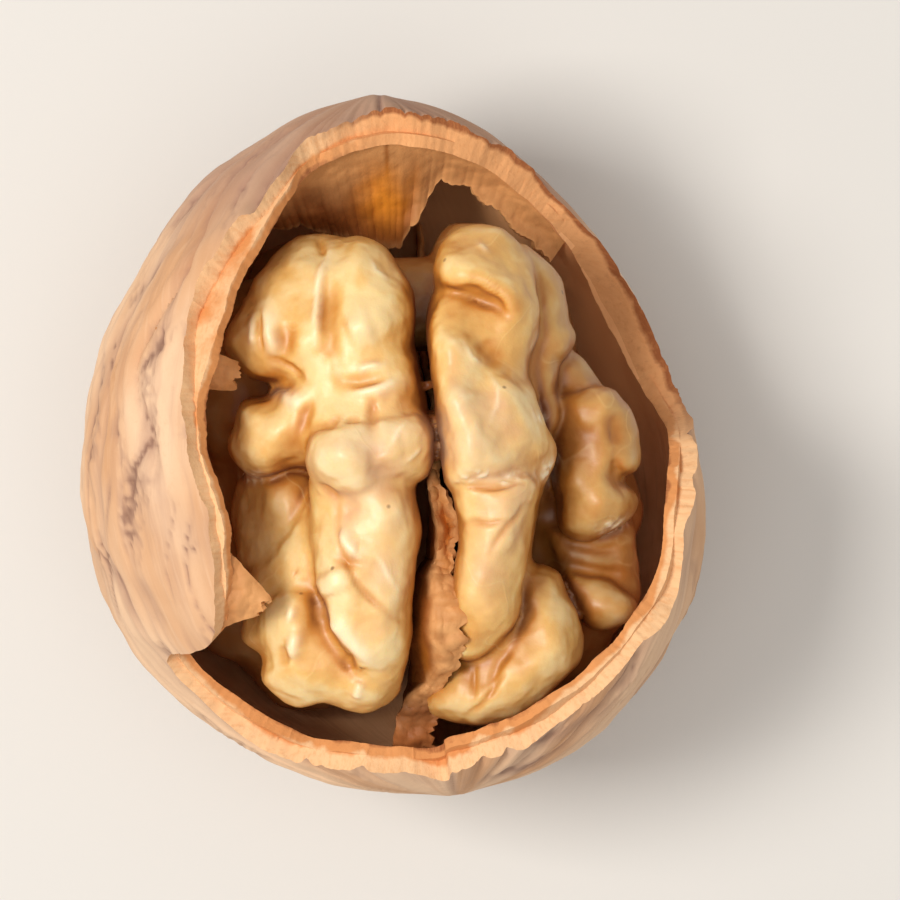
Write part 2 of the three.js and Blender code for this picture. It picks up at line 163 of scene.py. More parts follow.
def smooth_loop(stops: Points, per_span: int) -> Points:
    """A smooth closed curve through points, with no loops where they stand close.

    Args:
        stops: the points, one to a row, in two or three dimensions.
        per_span: how many points of the curve there are from one to the next.

    Returns:
        The curve's points, without the first one again at the end.
    """
    p1 = np.asarray(stops, float)
    p0, p2, p3 = (np.roll(p1, shift, axis=0) for shift in (1, -1, -2))
    share = np.linspace(0, 1, per_span, endpoint=False)[None, :, None]
    t1 = np.linalg.norm(p1 - p0, axis=1)[:, None, None] ** 0.5
    t2 = t1 + np.linalg.norm(p2 - p1, axis=1)[:, None, None] ** 0.5
    t3 = t2 + np.linalg.norm(p3 - p2, axis=1)[:, None, None] ** 0.5
    t = t1 + share * (t2 - t1)
    q0, q1, q2, q3 = (p[:, None, :] for p in (p0, p1, p2, p3))
    a1 = q0 + (q1 - q0) * t / t1
    a2 = q1 + (q2 - q1) * (t - t1) / (t2 - t1)
    a3 = q2 + (q3 - q2) * (t - t2) / (t3 - t2)
    b1 = a1 + (a2 - a1) * t / t2
    b2 = a2 + (a3 - a2) * (t - t1) / (t3 - t1)
    return (b1 + (b2 - b1) * (t - t1) / (t2 - t1)).reshape(-1, p1.shape[1])


@dataclass(frozen=True)
class View:
    """The photograph's view: straight down from above the opening.

    Attributes:
        mm_per_pixel: how much of the nut's centre plane one pixel of the photograph covers.
        distance: from the camera to the nut's centre plane, in millimetres.
        nut_centre: the pixel at which the nut's centre shows.
        picture: how many pixels wide the photograph is.
    """

    mm_per_pixel: float = 0.057
    distance: float = 450.0
    nut_centre: tuple[float, float] = (393, 446)
    picture: int = 900

    def seen(self, pixels: tuple | Points) -> Points:
        """Where pixels of the photograph lie on the nut's centre plane, in millimetres."""
        from_centre = np.asarray(pixels, float)[..., :2] - self.nut_centre
        return from_centre * (self.mm_per_pixel, -self.mm_per_pixel)

    @property
    def aim(self) -> Points:
        """Where the camera's axis meets the nut's centre plane."""
        return self.seen((self.picture / 2, self.picture / 2))

    def as_seen(self, points: Points) -> Points:
        """Where the camera sees points, on the nut's centre plane."""
        nearness = self.distance / (self.distance - points[:, 2])
        return self.aim + (points[:, :2] - self.aim) * nearness[:, None]

    def at_height(self, seen: Points, height: Values) -> Points:
        """The points at a height that the camera sees at places on the nut's centre plane."""
        across = self.aim + (seen - self.aim) * ((self.distance - height) / self.distance)[:, None]
        return np.column_stack([across, height])


VIEW = View()


@dataclass(frozen=True)
class NutForm:
    """The walnut's overall form: its outline from above, its depth and its wall.

    Attributes:
        outline: how far the outline reaches from the centre, every 30 degrees from +X towards +Y.
        half_depth: from the centre down to the back.
        wall: the shell's thickness.
        clearance: what pieces that only lie in the shell keep from it.
        rest_trim: how much of the back is worn flat where the nut rests.
        centre: the nut's centre in the part's frame.
    """

    outline: tuple[float, ...] = (17.4, 16.6, 17.5, 19.5, 18.6, 17.5, 17.8, 18.7, 19.1, 19.7, 20.2, 19.3)
    half_depth: float = 17.0
    wall: float = 1.6
    clearance: float = 0.35
    rest_trim: float = 0.5
    centre: tuple[float, float, float] = (0.045, 0.055, 16.5)
    seam_at_centre: float = 1.35
    seam_slope: float = -0.108

    def outline_radius(self, angle: Values) -> Values:
        """The outline's reach at an angle, as a smooth closed curve through the named radii."""
        radii = np.array(self.outline)
        turn = (angle / math.tau) % 1 * len(radii)
        before = np.floor(turn).astype(int)
        share = turn - before
        a, b, c, d = (radii[(before + step) % len(radii)] for step in (-1, 0, 1, 2))
        slope = c - a + share * (2 * a - 5 * b + 4 * c - d + share * (3 * (b - c) + d - a))
        return b + 0.5 * share * slope

    def reach(self, directions: Points, depth: float) -> Values:
        """How far the nut's surface is from its centre, a given depth inside the outside."""
        across = np.hypot(directions[:, 0], directions[:, 1])
        reach = self.outline_radius(np.arctan2(directions[:, 1], directions[:, 0])) - depth
        return 1 / np.hypot(across / reach, directions[:, 2] / (self.half_depth - depth))

    def depth_under(self, points: Points) -> Values:
        """How deep points lie under the smooth outside, along the line to the centre."""
        length = np.linalg.norm(points, axis=1)
        return self.reach(points / length[:, None], 0) - length

    def from_seam(self, points: Points) -> Values:
        """How far points lie to the right of the seam's plane."""
        return points[:, 0] - (self.seam_at_centre + self.seam_slope * points[:, 1])

    def wall_reach(self, angle: Values, height: Values) -> Values:
        """How far out the shell's inner wall is, at an angle and a height above the centre."""
        share = height / (self.half_depth - self.wall)
        return (self.outline_radius(angle) - self.wall) * np.sqrt(np.maximum(1 - share**2, 0))


NUT = NutForm()


def coordinates(mesh: bpy.types.Mesh) -> Points:
    """Reads a mesh's vertices, one to a row."""
    flat = np.empty(len(mesh.vertices) * 3)
    mesh.vertices.foreach_get("co", flat)
    return flat.reshape(-1, 3)


def normals(mesh: bpy.types.Mesh) -> Points:
    """Reads a mesh's vertex normals, one to a row."""
    flat = np.empty(len(mesh.vertices) * 3)
    mesh.vertex_normals.foreach_get("vector", flat)
    return flat.reshape(-1, 3)


def move_to(mesh: bpy.types.Mesh, points: Points) -> None:
    """Puts a mesh's vertices at new places."""
    mesh.vertices.foreach_set("co", points.ravel())
    mesh.update()


def mesh_object(name: str, bm: bmesh.types.BMesh) -> bpy.types.Object:
    """Turns a bmesh into an object of the scene and frees it."""
    mesh = bpy.data.meshes.new(name)
    bm.to_mesh(mesh)
    bm.free()
    made = bpy.data.objects.new(name, mesh)
    bpy.context.scene.collection.objects.link(made)
    return made


def settle(made: bpy.types.Object) -> None:
    """Applies an object's modifiers to its mesh."""
    shown = made.evaluated_get(bpy.context.evaluated_depsgraph_get())
    mesh = bpy.data.meshes.new_from_object(shown)
    made.modifiers.clear()
    old = made.data
    made.data = mesh
    bpy.data.meshes.remove(old)


def combine(target: bpy.types.Object, tool: bpy.types.Object, operation: str) -> None:
    """Joins a solid with another, or cuts it by the other, which is used up.

    Args:
        target: the solid that changes.
        tool: the solid that it is joined with or cut by.
        operation: UNION or DIFFERENCE.
    """
    step = target.modifiers.new(operation.lower(), "BOOLEAN")
    step.object = tool
    step.operation = operation
    step.solver = "MANIFOLD"
    settle(target)
    bpy.data.objects.remove(tool)


def inside_box(points: Points, node: str) -> Points:
    """Holds points, in millimetres about the nut's centre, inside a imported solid's box."""
    low, high = ((np.array(corner) / METRES_PER_MM - NUT.centre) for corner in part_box(node))
    return np.clip(points, low, high)


def remember(mesh: bpy.types.Mesh, name: str, values: Values) -> None:
    """Keeps a value, or a vector of three, for each vertex, for the materials to read."""
    kind = "FLOAT_VECTOR" if values.ndim == 2 else "FLOAT"
    kept = mesh.attributes.new(name, kind, "POINT")
    kept.data.foreach_set("vector" if values.ndim == 2 else "value", values.ravel())


def finish_piece(made: bpy.types.Object, node: str) -> None:
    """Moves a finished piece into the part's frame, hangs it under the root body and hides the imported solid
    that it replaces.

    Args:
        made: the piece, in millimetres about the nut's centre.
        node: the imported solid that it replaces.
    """
    move_to(made.data, (coordinates(made.data) + NUT.centre) * METRES_PER_MM)
    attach(made, "root")
    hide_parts(node)
    log.info("%s: %d faces", made.name, len(made.data.polygons))


def ball(name: str, subdivisions: int) -> bpy.types.Object:
    """A closed ball of triangles alike, of radius 1."""
    bm = bmesh.new()
    bmesh.ops.create_icosphere(bm, subdivisions=subdivisions, radius=1)
    return mesh_object(name, bm)


LINE_END = 0.25
LINE_FADE = 0.35


def stroke(points: Points, line: Points, width: float) -> Values:
    """How strongly a line that fades out at both ends is felt.

    Args:
        points: places on a plane.
        line: the places that the line passes, in the same plane.
        width: half of how wide it is.

    Returns:
        Up to 1 along the line's middle, less at its ends, 0 away from it.
    """
    lengths = np.linalg.norm(np.diff(line, axis=0), axis=1)
    passed = np.concatenate([[0], np.cumsum(lengths)])
    nearest, place = np.full(len(points), 99.0), np.zeros(len(points))
    for start, end, before, length in zip(line[:-1], line[1:], passed, lengths):
        share = np.clip((points - start) @ (end - start) / length**2, 0, 1)
        away = np.linalg.norm(points - start - share[:, None] * (end - start), axis=1)
        place = np.where(away < nearest, before + share * length, place)
        nearest = np.minimum(nearest, away)
    from_end = np.minimum(place, passed[-1] - place)
    ends = LINE_END + (1 - LINE_END) * smooth_step(0, LINE_FADE * passed[-1], from_end)
    return bump(nearest, width) * ends


@dataclass(frozen=True)
class Drawn:
    """How one kind of line is drawn on a surface.

    Attributes:
        height: how far it stands out, in millimetres; less than 0 is cut in.
        width: half of how wide it is, in millimetres.
        tone_and_painted_light: how strongly it colours the surface; on the kernel's ridges, swells and creases
            this is painted highlight and shade.
        crumbly: whether it is broken up.
    """

    height: float
    width: float
    tone_and_painted_light: float
    crumbly: bool = False


class Scar(Enum):
    """The lines on the shell's outside; a tone_and_painted_light over 0 is dark."""

    GROOVE = Drawn(-0.12, 0.26, 0.55)
    HAIRLINE = Drawn(-0.10, 0.12, 0.75)
    RIB = Drawn(0.22, 0.6, -0.3)
    SCAB = Drawn(-0.10, 0.6, 0.6, crumbly=True)


class Mark(Enum):
    """The lines on the kernel; a tone_and_painted_light over 0 is pale, below 0 dark."""

    # Ridges, fine ridges and swells are paled as painted highlight; creases, hair creases and dents are darkened
    # as painted shade; veins, torn skin and pits keep the coat's own colour.
    VEIN = Drawn(0.08, 0.15, 0.5)
    RIDGE = Drawn(0.34, 0.42, 0.75)
    FINE_RIDGE = Drawn(0.26, 0.26, 0.7)
    SWELL = Drawn(0.45, 1.0, 0.25)
    CREASE = Drawn(-0.24, 0.32, -0.55)
    HAIR_CREASE = Drawn(-0.18, 0.17, -0.75)
    DENT = Drawn(-0.34, 0.6, -0.12)
    PIT = Drawn(-0.12, 0.2, -1.6)
    TORN = Drawn(0.12, 0.32, 1.4, crumbly=True)


def draw_lines(seen: Points, lines: tuple[tuple[Enum, Pixels], ...], whole: Values,
               strength: Values) -> tuple[Values, Values]:
    """Adds up the lines that are drawn on a surface.

    Args:
        seen: where the camera sees the surface's points.
        lines: (what it is, pixels that it passes) for each line.
        whole: how much of a crumbly line is left at each point.
        strength: how strongly any line is felt at each point.

    Returns:
        How far each point is raised by the lines, and how strongly they colour it.
    """
    raised, tone_and_painted_light = np.zeros(len(seen)), np.zeros(len(seen))
    for kind, stops in lines:
        drawn = kind.value
        swell = stroke(seen, VIEW.seen(stops), drawn.width) * strength
        swell *= whole if drawn.crumbly else 1
        raised += drawn.height * swell
        tone_and_painted_light += drawn.tone_and_painted_light * swell
    return raised, tone_and_painted_light


@dataclass
class BrokenEdge:
    """The line along which the near side of the shell broke away.

    Attributes:
        stations: points on the shell's outside, clockwise from the tip as seen from above.
        steps: how many straight steps the break is drawn with.
        roughness: (height in mm, swell in mm) of each size of tooth along the break.
        reaches: how far from the centre the cut's rings lie: (first, last, how many) through the wall.
        cut_start: how far from the centre the cut begins.
        cut_end: how far from the centre it ends, well outside the nut.
        lip: how far the inner layer stands out past the outer one.
        lip_wide: how much further it does at the upper left.
        lip_wide_angle: where that is, as an angle from +X.
        lip_wide_spread: over what angle it fades.
        thin_angle: where there is no lip.
        thin_spread: over what angle that fades.
        slope: how steeply the break slopes into the nut at the upper right.
        slope_from: how far from the centre the slope begins.
        slope_depth: how deep it goes on.
        slope_angle: where it is.
        slope_spread: over what angle it fades.
    """

    stations: tuple[tuple[float, float, float], ...] = (
        (-0.8, 18.8, 5.4), (2.7, 18.0, 4.0), (6.1, 16.2, 1.5), (9.5, 13.2, -1.0), (12.4, 9.5, -3.0),
        (14.7, 4.9, -3.5), (16.0, 2.4, -2.5), (17.2, -0.2, 2.7), (16.8, -4.2, 5.4), (16.2, -7.6, 5.1),
        (14.5, -11.5, 6.6), (11.7, -14.5, 7.2), (7.7, -16.8, 7.1), (3.4, -18.3, 6.6), (3.0, -18.4, 5.6),
        (-0.7, -18.5, 5.8), (-5.2, -17.4, 4.7), (-7.5, -16.3, 4.5), (-10.0, -14.3, 4.6),
        (-12.2, -12.0, 5.4), (-12.0, -11.3, 6.9), (-10.7, -11.1, 8.8), (-9.6, -10.4, 10.4),
        (-9.8, -7.2, 12.7), (-10.1, -4.1, 13.4), (-11.2, -1.1, 13.3), (-11.9, 2.5, 12.6),
        (-11.6, 5.3, 11.7), (-10.6, 9.0, 10.4), (-7.9, 13.0, 9.6), (-6.5, 15.3, 8.5),
        (-5.2, 17.2, 6.9), (-2.9, 18.1, 6.0),
    )
    steps: int = 900
    reaches: tuple[float, float, int] = (13.5, 21.5, 23)
    cut_start: float = 4.0
    cut_end: float = 30.0
    roughness: tuple[tuple[float, float], ...] = ((0.34, 3.2), (0.07, 1.1), (0.05, 0.3), (0.03, 0.15))
    lip: float = 0.3
    lip_wide: float = 1.25
    lip_wide_angle: float = 2.45
    lip_wide_spread: float = 0.38
    thin_angle: float = 0.9
    thin_spread: float = 1.0
    slope: float = 1.1
    slope_from: float = 17.0
    slope_depth: float = 3.0
    slope_angle: float = 0.5
    slope_spread: float = 0.5

    def directions(self) -> Points:
        """Unit directions from the nut's centre to the break, evenly spaced along it."""
        curve = smooth_loop(self.stations, 64)
        closed = np.vstack([curve, curve[:1]])
        along = np.concatenate([[0], np.cumsum(np.linalg.norm(np.diff(closed, axis=0), axis=1))])
        places = np.linspace(0, along[-1], self.steps, endpoint=False)
        even = np.column_stack([np.interp(places, along, closed[:, axis]) for axis in range(3)])
        return even / np.linalg.norm(even, axis=1, keepdims=True)

    def lip_width(self, angle: Values) -> Values:
        """How far the inner layer stands out past the break, widest at the upper left."""
        thin = bump(angle - self.thin_angle, self.thin_spread)
        widened = self.lip_wide * bump(angle - self.lip_wide_angle, self.lip_wide_spread)
        return self.lip * (1 - thin) + widened

    def sloped(self, points: Points) -> Values:
        """How far the break slopes into the nut, from 0 to 1: at the upper right alone."""
        return bump(np.arctan2(points[:, 1], points[:, 0]) - self.slope_angle, self.slope_spread)

    def wedge(self, name: str, with_lip: bool, seed: int) -> bpy.types.Object:
        """The solid that is cut from the shell: rays from the nut's centre through the break.

        Args:
            name: the cutting solid's name.
            with_lip: whether the inner layer's lip is spared.
            seed: which noise roughens it.

        Returns:
            A closed solid, to be cut away.
        """
        reaches = np.concatenate([[self.cut_start], np.linspace(*self.reaches), [self.cut_end]])
        bm = bmesh.new()
        bmesh.ops.create_circle(bm, cap_ends=True, segments=self.steps, radius=1)
        bm.edges.ensure_lookup_table()
        edges = list(bm.edges)
        cap = bm.faces[:]
        for _ in reaches[1:]:
            grown = bmesh.ops.extrude_edge_only(bm, edges=edges)["geom"]
            verts = [g for g in grown if isinstance(g, bmesh.types.BMVert)]
            bmesh.ops.translate(bm, verts=verts, vec=(0, 0, 1))
            edges = [g for g in grown if isinstance(g, bmesh.types.BMEdge) and g.is_boundary]
        cap += bmesh.ops.contextual_create(bm, geom=edges)["faces"]
        bmesh.ops.poke(bm, faces=cap)
        bmesh.ops.recalc_face_normals(bm, faces=bm.faces)
        made = mesh_object(name, bm)
        plan = coordinates(made.data)
        on_axis = np.hypot(plan[:, 0], plan[:, 1]) < 0.5
        step = np.rint(np.arctan2(plan[:, 1], plan[:, 0]) / math.tau * self.steps).astype(int) % self.steps
        ring = np.clip(np.rint(plan[:, 2]).astype(int), 0, len(reaches) - 1)
        direction = self.directions()[::-1][step]
        up = np.array([0, 0, 1]) - direction * direction[:, 2:]
        up /= np.linalg.norm(up, axis=1, keepdims=True)
        out = reaches[ring]
        place = direction * out[:, None]
        shift = np.zeros(len(plan))
        for layer, (height, swell) in enumerate(self.roughness):
            noise = Grain(seed + layer)
            shift += height * noise.at(place * (NUT.half_depth / np.maximum(out, 1))[:, None], swell)
            shift += 0.8 * height * noise.at(place + 50, swell * 0.7)
        if with_lip:
            shift += self.lip_width(np.arctan2(direction[:, 1], direction[:, 0]))
        shift -= self.slope * self.sloped(direction) * np.clip(self.slope_from - out, 0, self.slope_depth)
        turned = direction + up * (shift / NUT.half_depth)[:, None]
        turned /= np.linalg.norm(turned, axis=1, keepdims=True)
        place = turned * out[:, None]
        place[on_axis & (ring == 0)] = 0
        place[on_axis & (ring > 0)] = (0, 0, self.cut_end)
        move_to(made.data, place)
        return made


class Wall(Enum):
    """The three kinds of surface that the broken shell shows."""

    OUTSIDE = 0
    BROKEN = 1
    INSIDE = 2


SEAM_DARK_WIDTH = 0.2

SHELL_LINES = (
    (Scar.GROOVE, (
        (215, 206), (190, 231), (164, 255), (151, 271), (139, 292), (126, 317), (114, 343), (105, 370),
        (97, 391), (91, 425), (87, 450),
    )),
    (Scar.HAIRLINE, (
        (194, 262), (187, 276), (180, 287), (176, 298), (169, 312), (164, 327), (162, 344), (157, 353),
        (149, 360), (139, 372), (130, 381),
    )),
    (Scar.GROOVE, ((125, 403), (119, 412), (115, 428), (111, 445))),
    (Scar.HAIRLINE, ((110, 466), (111, 493), (109, 516), (109, 543))),
    (Scar.GROOVE, ((146, 417), (150, 433), (141, 453), (133, 473), (131, 503), (125, 519), (130, 539))),
    (Scar.HAIRLINE, ((146, 440), (139, 456), (132, 472))),
    (Scar.HAIRLINE, ((194, 544), (191, 552), (183, 555))),
    (Scar.GROOVE, ((137, 560), (146, 590), (158, 615), (172, 640))),
    (Scar.GROOVE, ((112, 560), (124, 596), (142, 630))),
    (Scar.RIB, (
        (264, 204), (228, 234), (209, 251), (198, 271), (181, 289), (171, 315), (168, 345), (163, 372),
    )),
    (Scar.RIB, ((240, 215), (206, 243), (178, 272), (156, 304), (140, 340), (127, 380), (122, 430))),
    (Scar.RIB, ((168, 400), (160, 450), (158, 505), (165, 560), (178, 610))),
    (Scar.SCAB, ((160, 318), (153, 332), (152, 348))),
    (Scar.SCAB, ((192, 264), (184, 280))),
    (Scar.SCAB, ((143, 470), (149, 488))),
    (Scar.SCAB, ((258, 196), (285, 174), (305, 158), (325, 142), (350, 126))),
    (Scar.SCAB, ((236, 222), (222, 236))),
    (Scar.GROOVE, ((246, 208), (285, 172), (325, 140), (368, 115))),
    (Scar.GROOVE, ((268, 186), (300, 160), (335, 132))),
    (Scar.GROOVE, ((440, 120), (400, 106), (376, 101))),
    (Scar.GROOVE, ((500, 760), (560, 737), (620, 700))),
    (Scar.HAIRLINE, ((470, 782), (520, 770), (570, 745))),
    (Scar.GROOVE, ((232, 712), (290, 752), (350, 776))),
)


@dataclass(frozen=True)
class Furrow:
    """One size of furrow along the shell's grain.

    Attributes:
        seed: which noise it follows.
        stretch: how close its furrows lie, across, across and along the grain.
        depth: how deep it is, in millimetres.
        width: how wide it is, in units of the noise.
        dark: how dark it is painted: the shell's own darker furrow colour with painted shade in its hollow.
        dark_width: how wide its dark middle is, in units of the noise.
    """

    seed: int
    stretch: tuple[float, float, float]
    depth: float
    width: float
    dark: float
    dark_width: float


@dataclass
class Shell:
    """The woody shell: two half shells grown together at a raised seam, broken open on one side.

    Attributes:
        around: how many strips the outside is modelled with, round the nut's long axis.
        along: how many from tip to base.
        lines: (what it is, pixels that it passes) for each groove, hairline, rib and scab.
        inner_layer: how deep the pale inner layer begins.
        hollow: how uneven the inner wall is.
        skin: how deep the outside's finish reaches where the outside is rough.
        wall_slack: how far short of the wall's thickness still counts as its inner side.
        proud: how far the outside stands over the smooth form.
        seam_crack: how deep the crack along the seam's middle is.
        seam_fade: how much lower the seam is at the tip and the base.
        tip_angle: where the tip is, as an angle from +X.
        furrows: the two sizes of furrow.
        swells: the outside's unevenness.
        grain_length: how far along the nut counts as one unit of the grain.
    """

    edge: BrokenEdge = field(default_factory=BrokenEdge)
    lines: tuple[tuple[Scar, Pixels], ...] = SHELL_LINES
    around: int = 480
    along: int = 170
    inner_layer: float = 0.95
    seam_height: float = 0.32
    seam_half_width: float = 1.2
    seam_crack: float = 0.16
    seam_crack_width: float = 0.16
    seam_fade: float = 0.3
    seam_fade_along: tuple[float, float] = (17.0, 19.5)
    tip_height: float = 0.25
    tip_angle: float = 1.68
    tip_spread: float = 0.45
    hollow: float = 0.07
    skin: float = 0.55
    wall_slack: float = 0.13
    proud: float = 0.08
    furrows: tuple[Furrow, ...] = (
        Furrow(12, (3.3, 3.3, 0.9), 0.34, 0.17, 0.32, 0.12),
        Furrow(13, (8.0, 8.0, 1.3), 0.12, 0.13, 0.20, 0.10),
    )
    crack_depth: float = 0.12
    crack_dark: float = 0.7
    swells: Layers = ((16, 0.16, 3.2), (19, 0.05, 1.1))
    grain_length: float = 20.0
    pole_reach: tuple[float, float] = (1.0, 9.0)
    grain_stray: float = 0.2
    rough_depth: float = 0.14

    def grain_place(self, points: Points) -> Points:
        """Where points lie in the shell's grain, which runs from tip to base."""
        turn = np.arctan2(points[:, 2], NUT.from_seam(points))
        return np.column_stack([np.cos(turn), np.sin(turn), points[:, 1] / self.grain_length])

    def off_pole(self, points: Points) -> Values:
        """0 at the tip and the base, where the grain runs together, and 1 away from them."""
        return smooth_step(*self.pole_reach, np.hypot(NUT.from_seam(points), points[:, 2]))

    def relief(self, surface: Points) -> tuple[Values, Values]:
        """The outside's furrows, ridges and pits.

        Args:
            surface: points on the smooth outside.

        Returns:
            How far each point is raised, and how dark it is painted, from 0 to 1: the shell's own darker
            furrows, cracks, pits, grooves and seam, with painted shade in the furrows.
        """
        from_seam = NUT.from_seam(surface)
        directions = surface / np.linalg.norm(surface, axis=1, keepdims=True)
        tip_way = (math.cos(self.tip_angle), math.sin(self.tip_angle), 0)
        off_tip = np.arccos(np.clip(directions @ tip_way, -1, 1))
        seam = self.seam_height * bump(from_seam, self.seam_half_width)
        seam -= self.seam_crack * bump(from_seam, self.seam_crack_width)
        seam *= 1 - self.seam_fade * smooth_step(*self.seam_fade_along, np.abs(surface[:, 1]))
        tip = self.tip_height * bump(off_tip, self.tip_spread)
        place = self.grain_place(surface)
        stray = Grain(11).at(place * [1.3, 1.3, 2.4]) * self.grain_stray
        sideways = np.column_stack([-place[:, 1], place[:, 0], np.zeros(len(place))])
        turned = place + sideways * stray[:, None]
        levels = [np.abs(Grain(furrow.seed).at(turned * furrow.stretch)) for furrow in self.furrows]
        cut = list(zip(self.furrows, levels))
        valleys = sum(furrow.depth * bump(level, furrow.width) for furrow, level in cut)
        # Painted shade in the furrows' hollows, over the shell's own darker furrow colour.
        shade = sum(furrow.dark * bump(level, furrow.dark_width) for furrow, level in cut)
        hair = np.abs(Grain(14).at(turned * [6.5, 6.5, 0.8] + 7))
        cracks = bump(hair, 0.03) * smooth_step(0.05, 0.4, Grain(17).at(turned * [4, 4, 3.5]))
        rough = smooth_step(0.22, 0.5, Grain(15).at(turned * [5.5, 5.5, 5.0] + 9))
        rough *= Grain(18).ridged(surface, 0.7)
        calm = self.off_pole(surface)
        swell = layered(surface, self.swells) - valleys
        swell -= self.crack_depth * cracks + self.rough_depth * rough
        lined, dark = self.lined(surface)
        raised = seam + tip + self.proud + lined + calm * swell
        dark = dark + calm * (shade + self.crack_dark * (cracks + rough))
        dark += self.crack_dark * bump(from_seam, SEAM_DARK_WIDTH)
        return raised, np.clip(dark, 0, 1)

    def lined(self, surface: Points) -> tuple[Values, Values]:
        """The grooves, hairlines, ribs and scabs that show beside the opening.

        Args:
            surface: points on the smooth outside.

        Returns:
            How far each point is raised by them, and how dark they make it.
        """
        seen = VIEW.as_seen(surface) + wander(surface, 25, 0.12, 0.9, 2)
        upper = smooth_step(-4.5, -2.5, surface[:, 2])
        whole = 0.35 + 0.65 * Grain(27).ridged(surface, 0.45)
        return draw_lines(seen, self.lines, whole, upper)

    def outside(self) -> bpy.types.Object:
        """The shell's outside as a closed solid, with its poles at the tip and the base."""
        bm = bmesh.new()
        bmesh.ops.create_uvsphere(bm, u_segments=self.around, v_segments=self.along, radius=1)
        made = mesh_object("broken_shell", bm)
        upright = coordinates(made.data)
        directions = np.column_stack([upright[:, 1], upright[:, 2], upright[:, 0]])
        surface = directions * NUT.reach(directions, 0)[:, None]
        raised, _ = self.relief(surface)
        move_to(made.data, surface + directions * raised[:, None])
        return made

    def layer(self, name: str, depth: float, subdivisions: int, texture: float) -> bpy.types.Object:
        """A closed solid a given depth inside the outside, a little uneven.

        Args:
            name: the solid's name.
            depth: how deep inside the smooth outside it lies.
            subdivisions: how finely it is modelled.
            texture: how uneven it is.

        Returns:
            The solid.
        """
        made = ball(name, subdivisions)
        directions = coordinates(made.data)
        surface = directions * NUT.reach(directions, depth)[:, None]
        uneven = layered(surface, ((21, texture, 1.6), (22, 0.5 * texture, 0.6)))
        move_to(made.data, surface + directions * uneven[:, None])
        return made

    def sort_faces(self, mesh: bpy.types.Mesh) -> None:
        """Gives each face its surface: outside, broken or inside.

        Args:
            mesh: the broken shell, in millimetres about the nut's centre.
        """
        centres = np.empty(len(mesh.polygons) * 3)
        mesh.polygons.foreach_get("center", centres)
        centres = centres.reshape(-1, 3)
        length = np.linalg.norm(centres, axis=1, keepdims=True)
        facing = np.empty(len(mesh.polygons) * 3)
        mesh.polygons.foreach_get("normal", facing)
        outward = np.einsum("ij,ij->i", facing.reshape(-1, 3), centres / length)
        surface = centres / length * NUT.reach(centres / length, 0)[:, None]
        raised, _ = self.relief(surface)
        depth = NUT.depth_under(centres) + raised
        kind = np.full(len(centres), Wall.BROKEN.value)
        kind[(depth < self.skin) & (outward > 0.35)] = Wall.OUTSIDE.value
        at_wall = NUT.depth_under(centres) > NUT.wall - self.wall_slack
        kind[at_wall & (outward < -0.5)] = Wall.INSIDE.value
        kind[centres[:, 2] < -NUT.half_depth + NUT.rest_trim + 0.01] = Wall.OUTSIDE.value
        mesh.polygons.foreach_set("material_index", kind.astype(np.int32))

    def build(self) -> bpy.types.Object:
        """Builds the broken shell as one closed piece."""
        shell = self.outside()
        combine(shell, self.edge.wedge("wedge", False, 31), "DIFFERENCE")
        inner = self.layer("inner_layer", self.inner_layer, 6, 0.03)
        combine(inner, self.edge.wedge("inner_wedge", True, 41), "DIFFERENCE")
        combine(shell, inner, "UNION")
        combine(shell, self.layer("hollow", NUT.wall, 6, self.hollow), "DIFFERENCE")
        bm = bmesh.new()
        bmesh.ops.create_cube(bm, size=40)
        bmesh.ops.translate(bm, verts=bm.verts, vec=(0, 0, -20 - NUT.half_depth + NUT.rest_trim))
        combine(shell, mesh_object("surface", bm), "DIFFERENCE")
        move_to(shell.data, inside_box(coordinates(shell.data), "shell"))
        self.dress(shell)
        finish_piece(shell, "shell")
        return shell

    def dress(self, shell: bpy.types.Object) -> None:
        """Gives the shell its finishes and what they read."""
        mesh = shell.data
        mesh.materials.clear()
        for finish in (ShellFinish(), BrokenFinish(), InnerWallFinish()):
            mesh.materials.append(finish.material())
        self.sort_faces(mesh)
        points = coordinates(mesh)
        directions = points / np.linalg.norm(points, axis=1, keepdims=True)
        raised, furrow = self.relief(directions * NUT.reach(directions, 0)[:, None])
        # furrow: how dark the outside is painted, the shell's own marks with painted shade in the furrows.
        remember(mesh, "furrow", furrow)
        remember(mesh, "depth", np.clip((NUT.depth_under(points) + raised) / NUT.wall, 0, 1))
        remember(mesh, "grain", self.grain_place(points))
        remember(mesh, "calm", self.off_pole(points))
        # tip: where the outside is washed mauve as painted shade towards the tip.
        remember(mesh, "tip", smooth_step(10.0, 15.5, points[:, 1]))
        # thin: marks the upper right, where the broken edge has its own brown rim line and the inner wall is
        # painted paler as painted light, since it lies in shade.
        remember(mesh, "thin", smooth_step(-1.0, 4.0, points[:, 1]) * smooth_step(-6.0, 0.0, points[:, 0]))
        mesh.shade_smooth()
        mesh.set_sharp_from_angle(angle=math.radians(38))


@dataclass(frozen=True)
class Fold:
    """One tapered fold of the kernel, from one round end to another, in millimetres."""

    start: tuple[float, float, float]
    start_radius: float
    end: tuple[float, float, float]
    end_radius: float

    def distance(self, points: Points) -> Values:
        """How far points lie outside the fold."""
        start, along = np.array(self.start), np.subtract(self.end, self.start)
        offset = points - start
        share = np.clip(offset @ along / max(along @ along, 1e-9), 0, 1)
        away = np.linalg.norm(offset - share[:, None] * along, axis=1)
        return away - (self.start_radius + (self.end_radius - self.start_radius) * share)


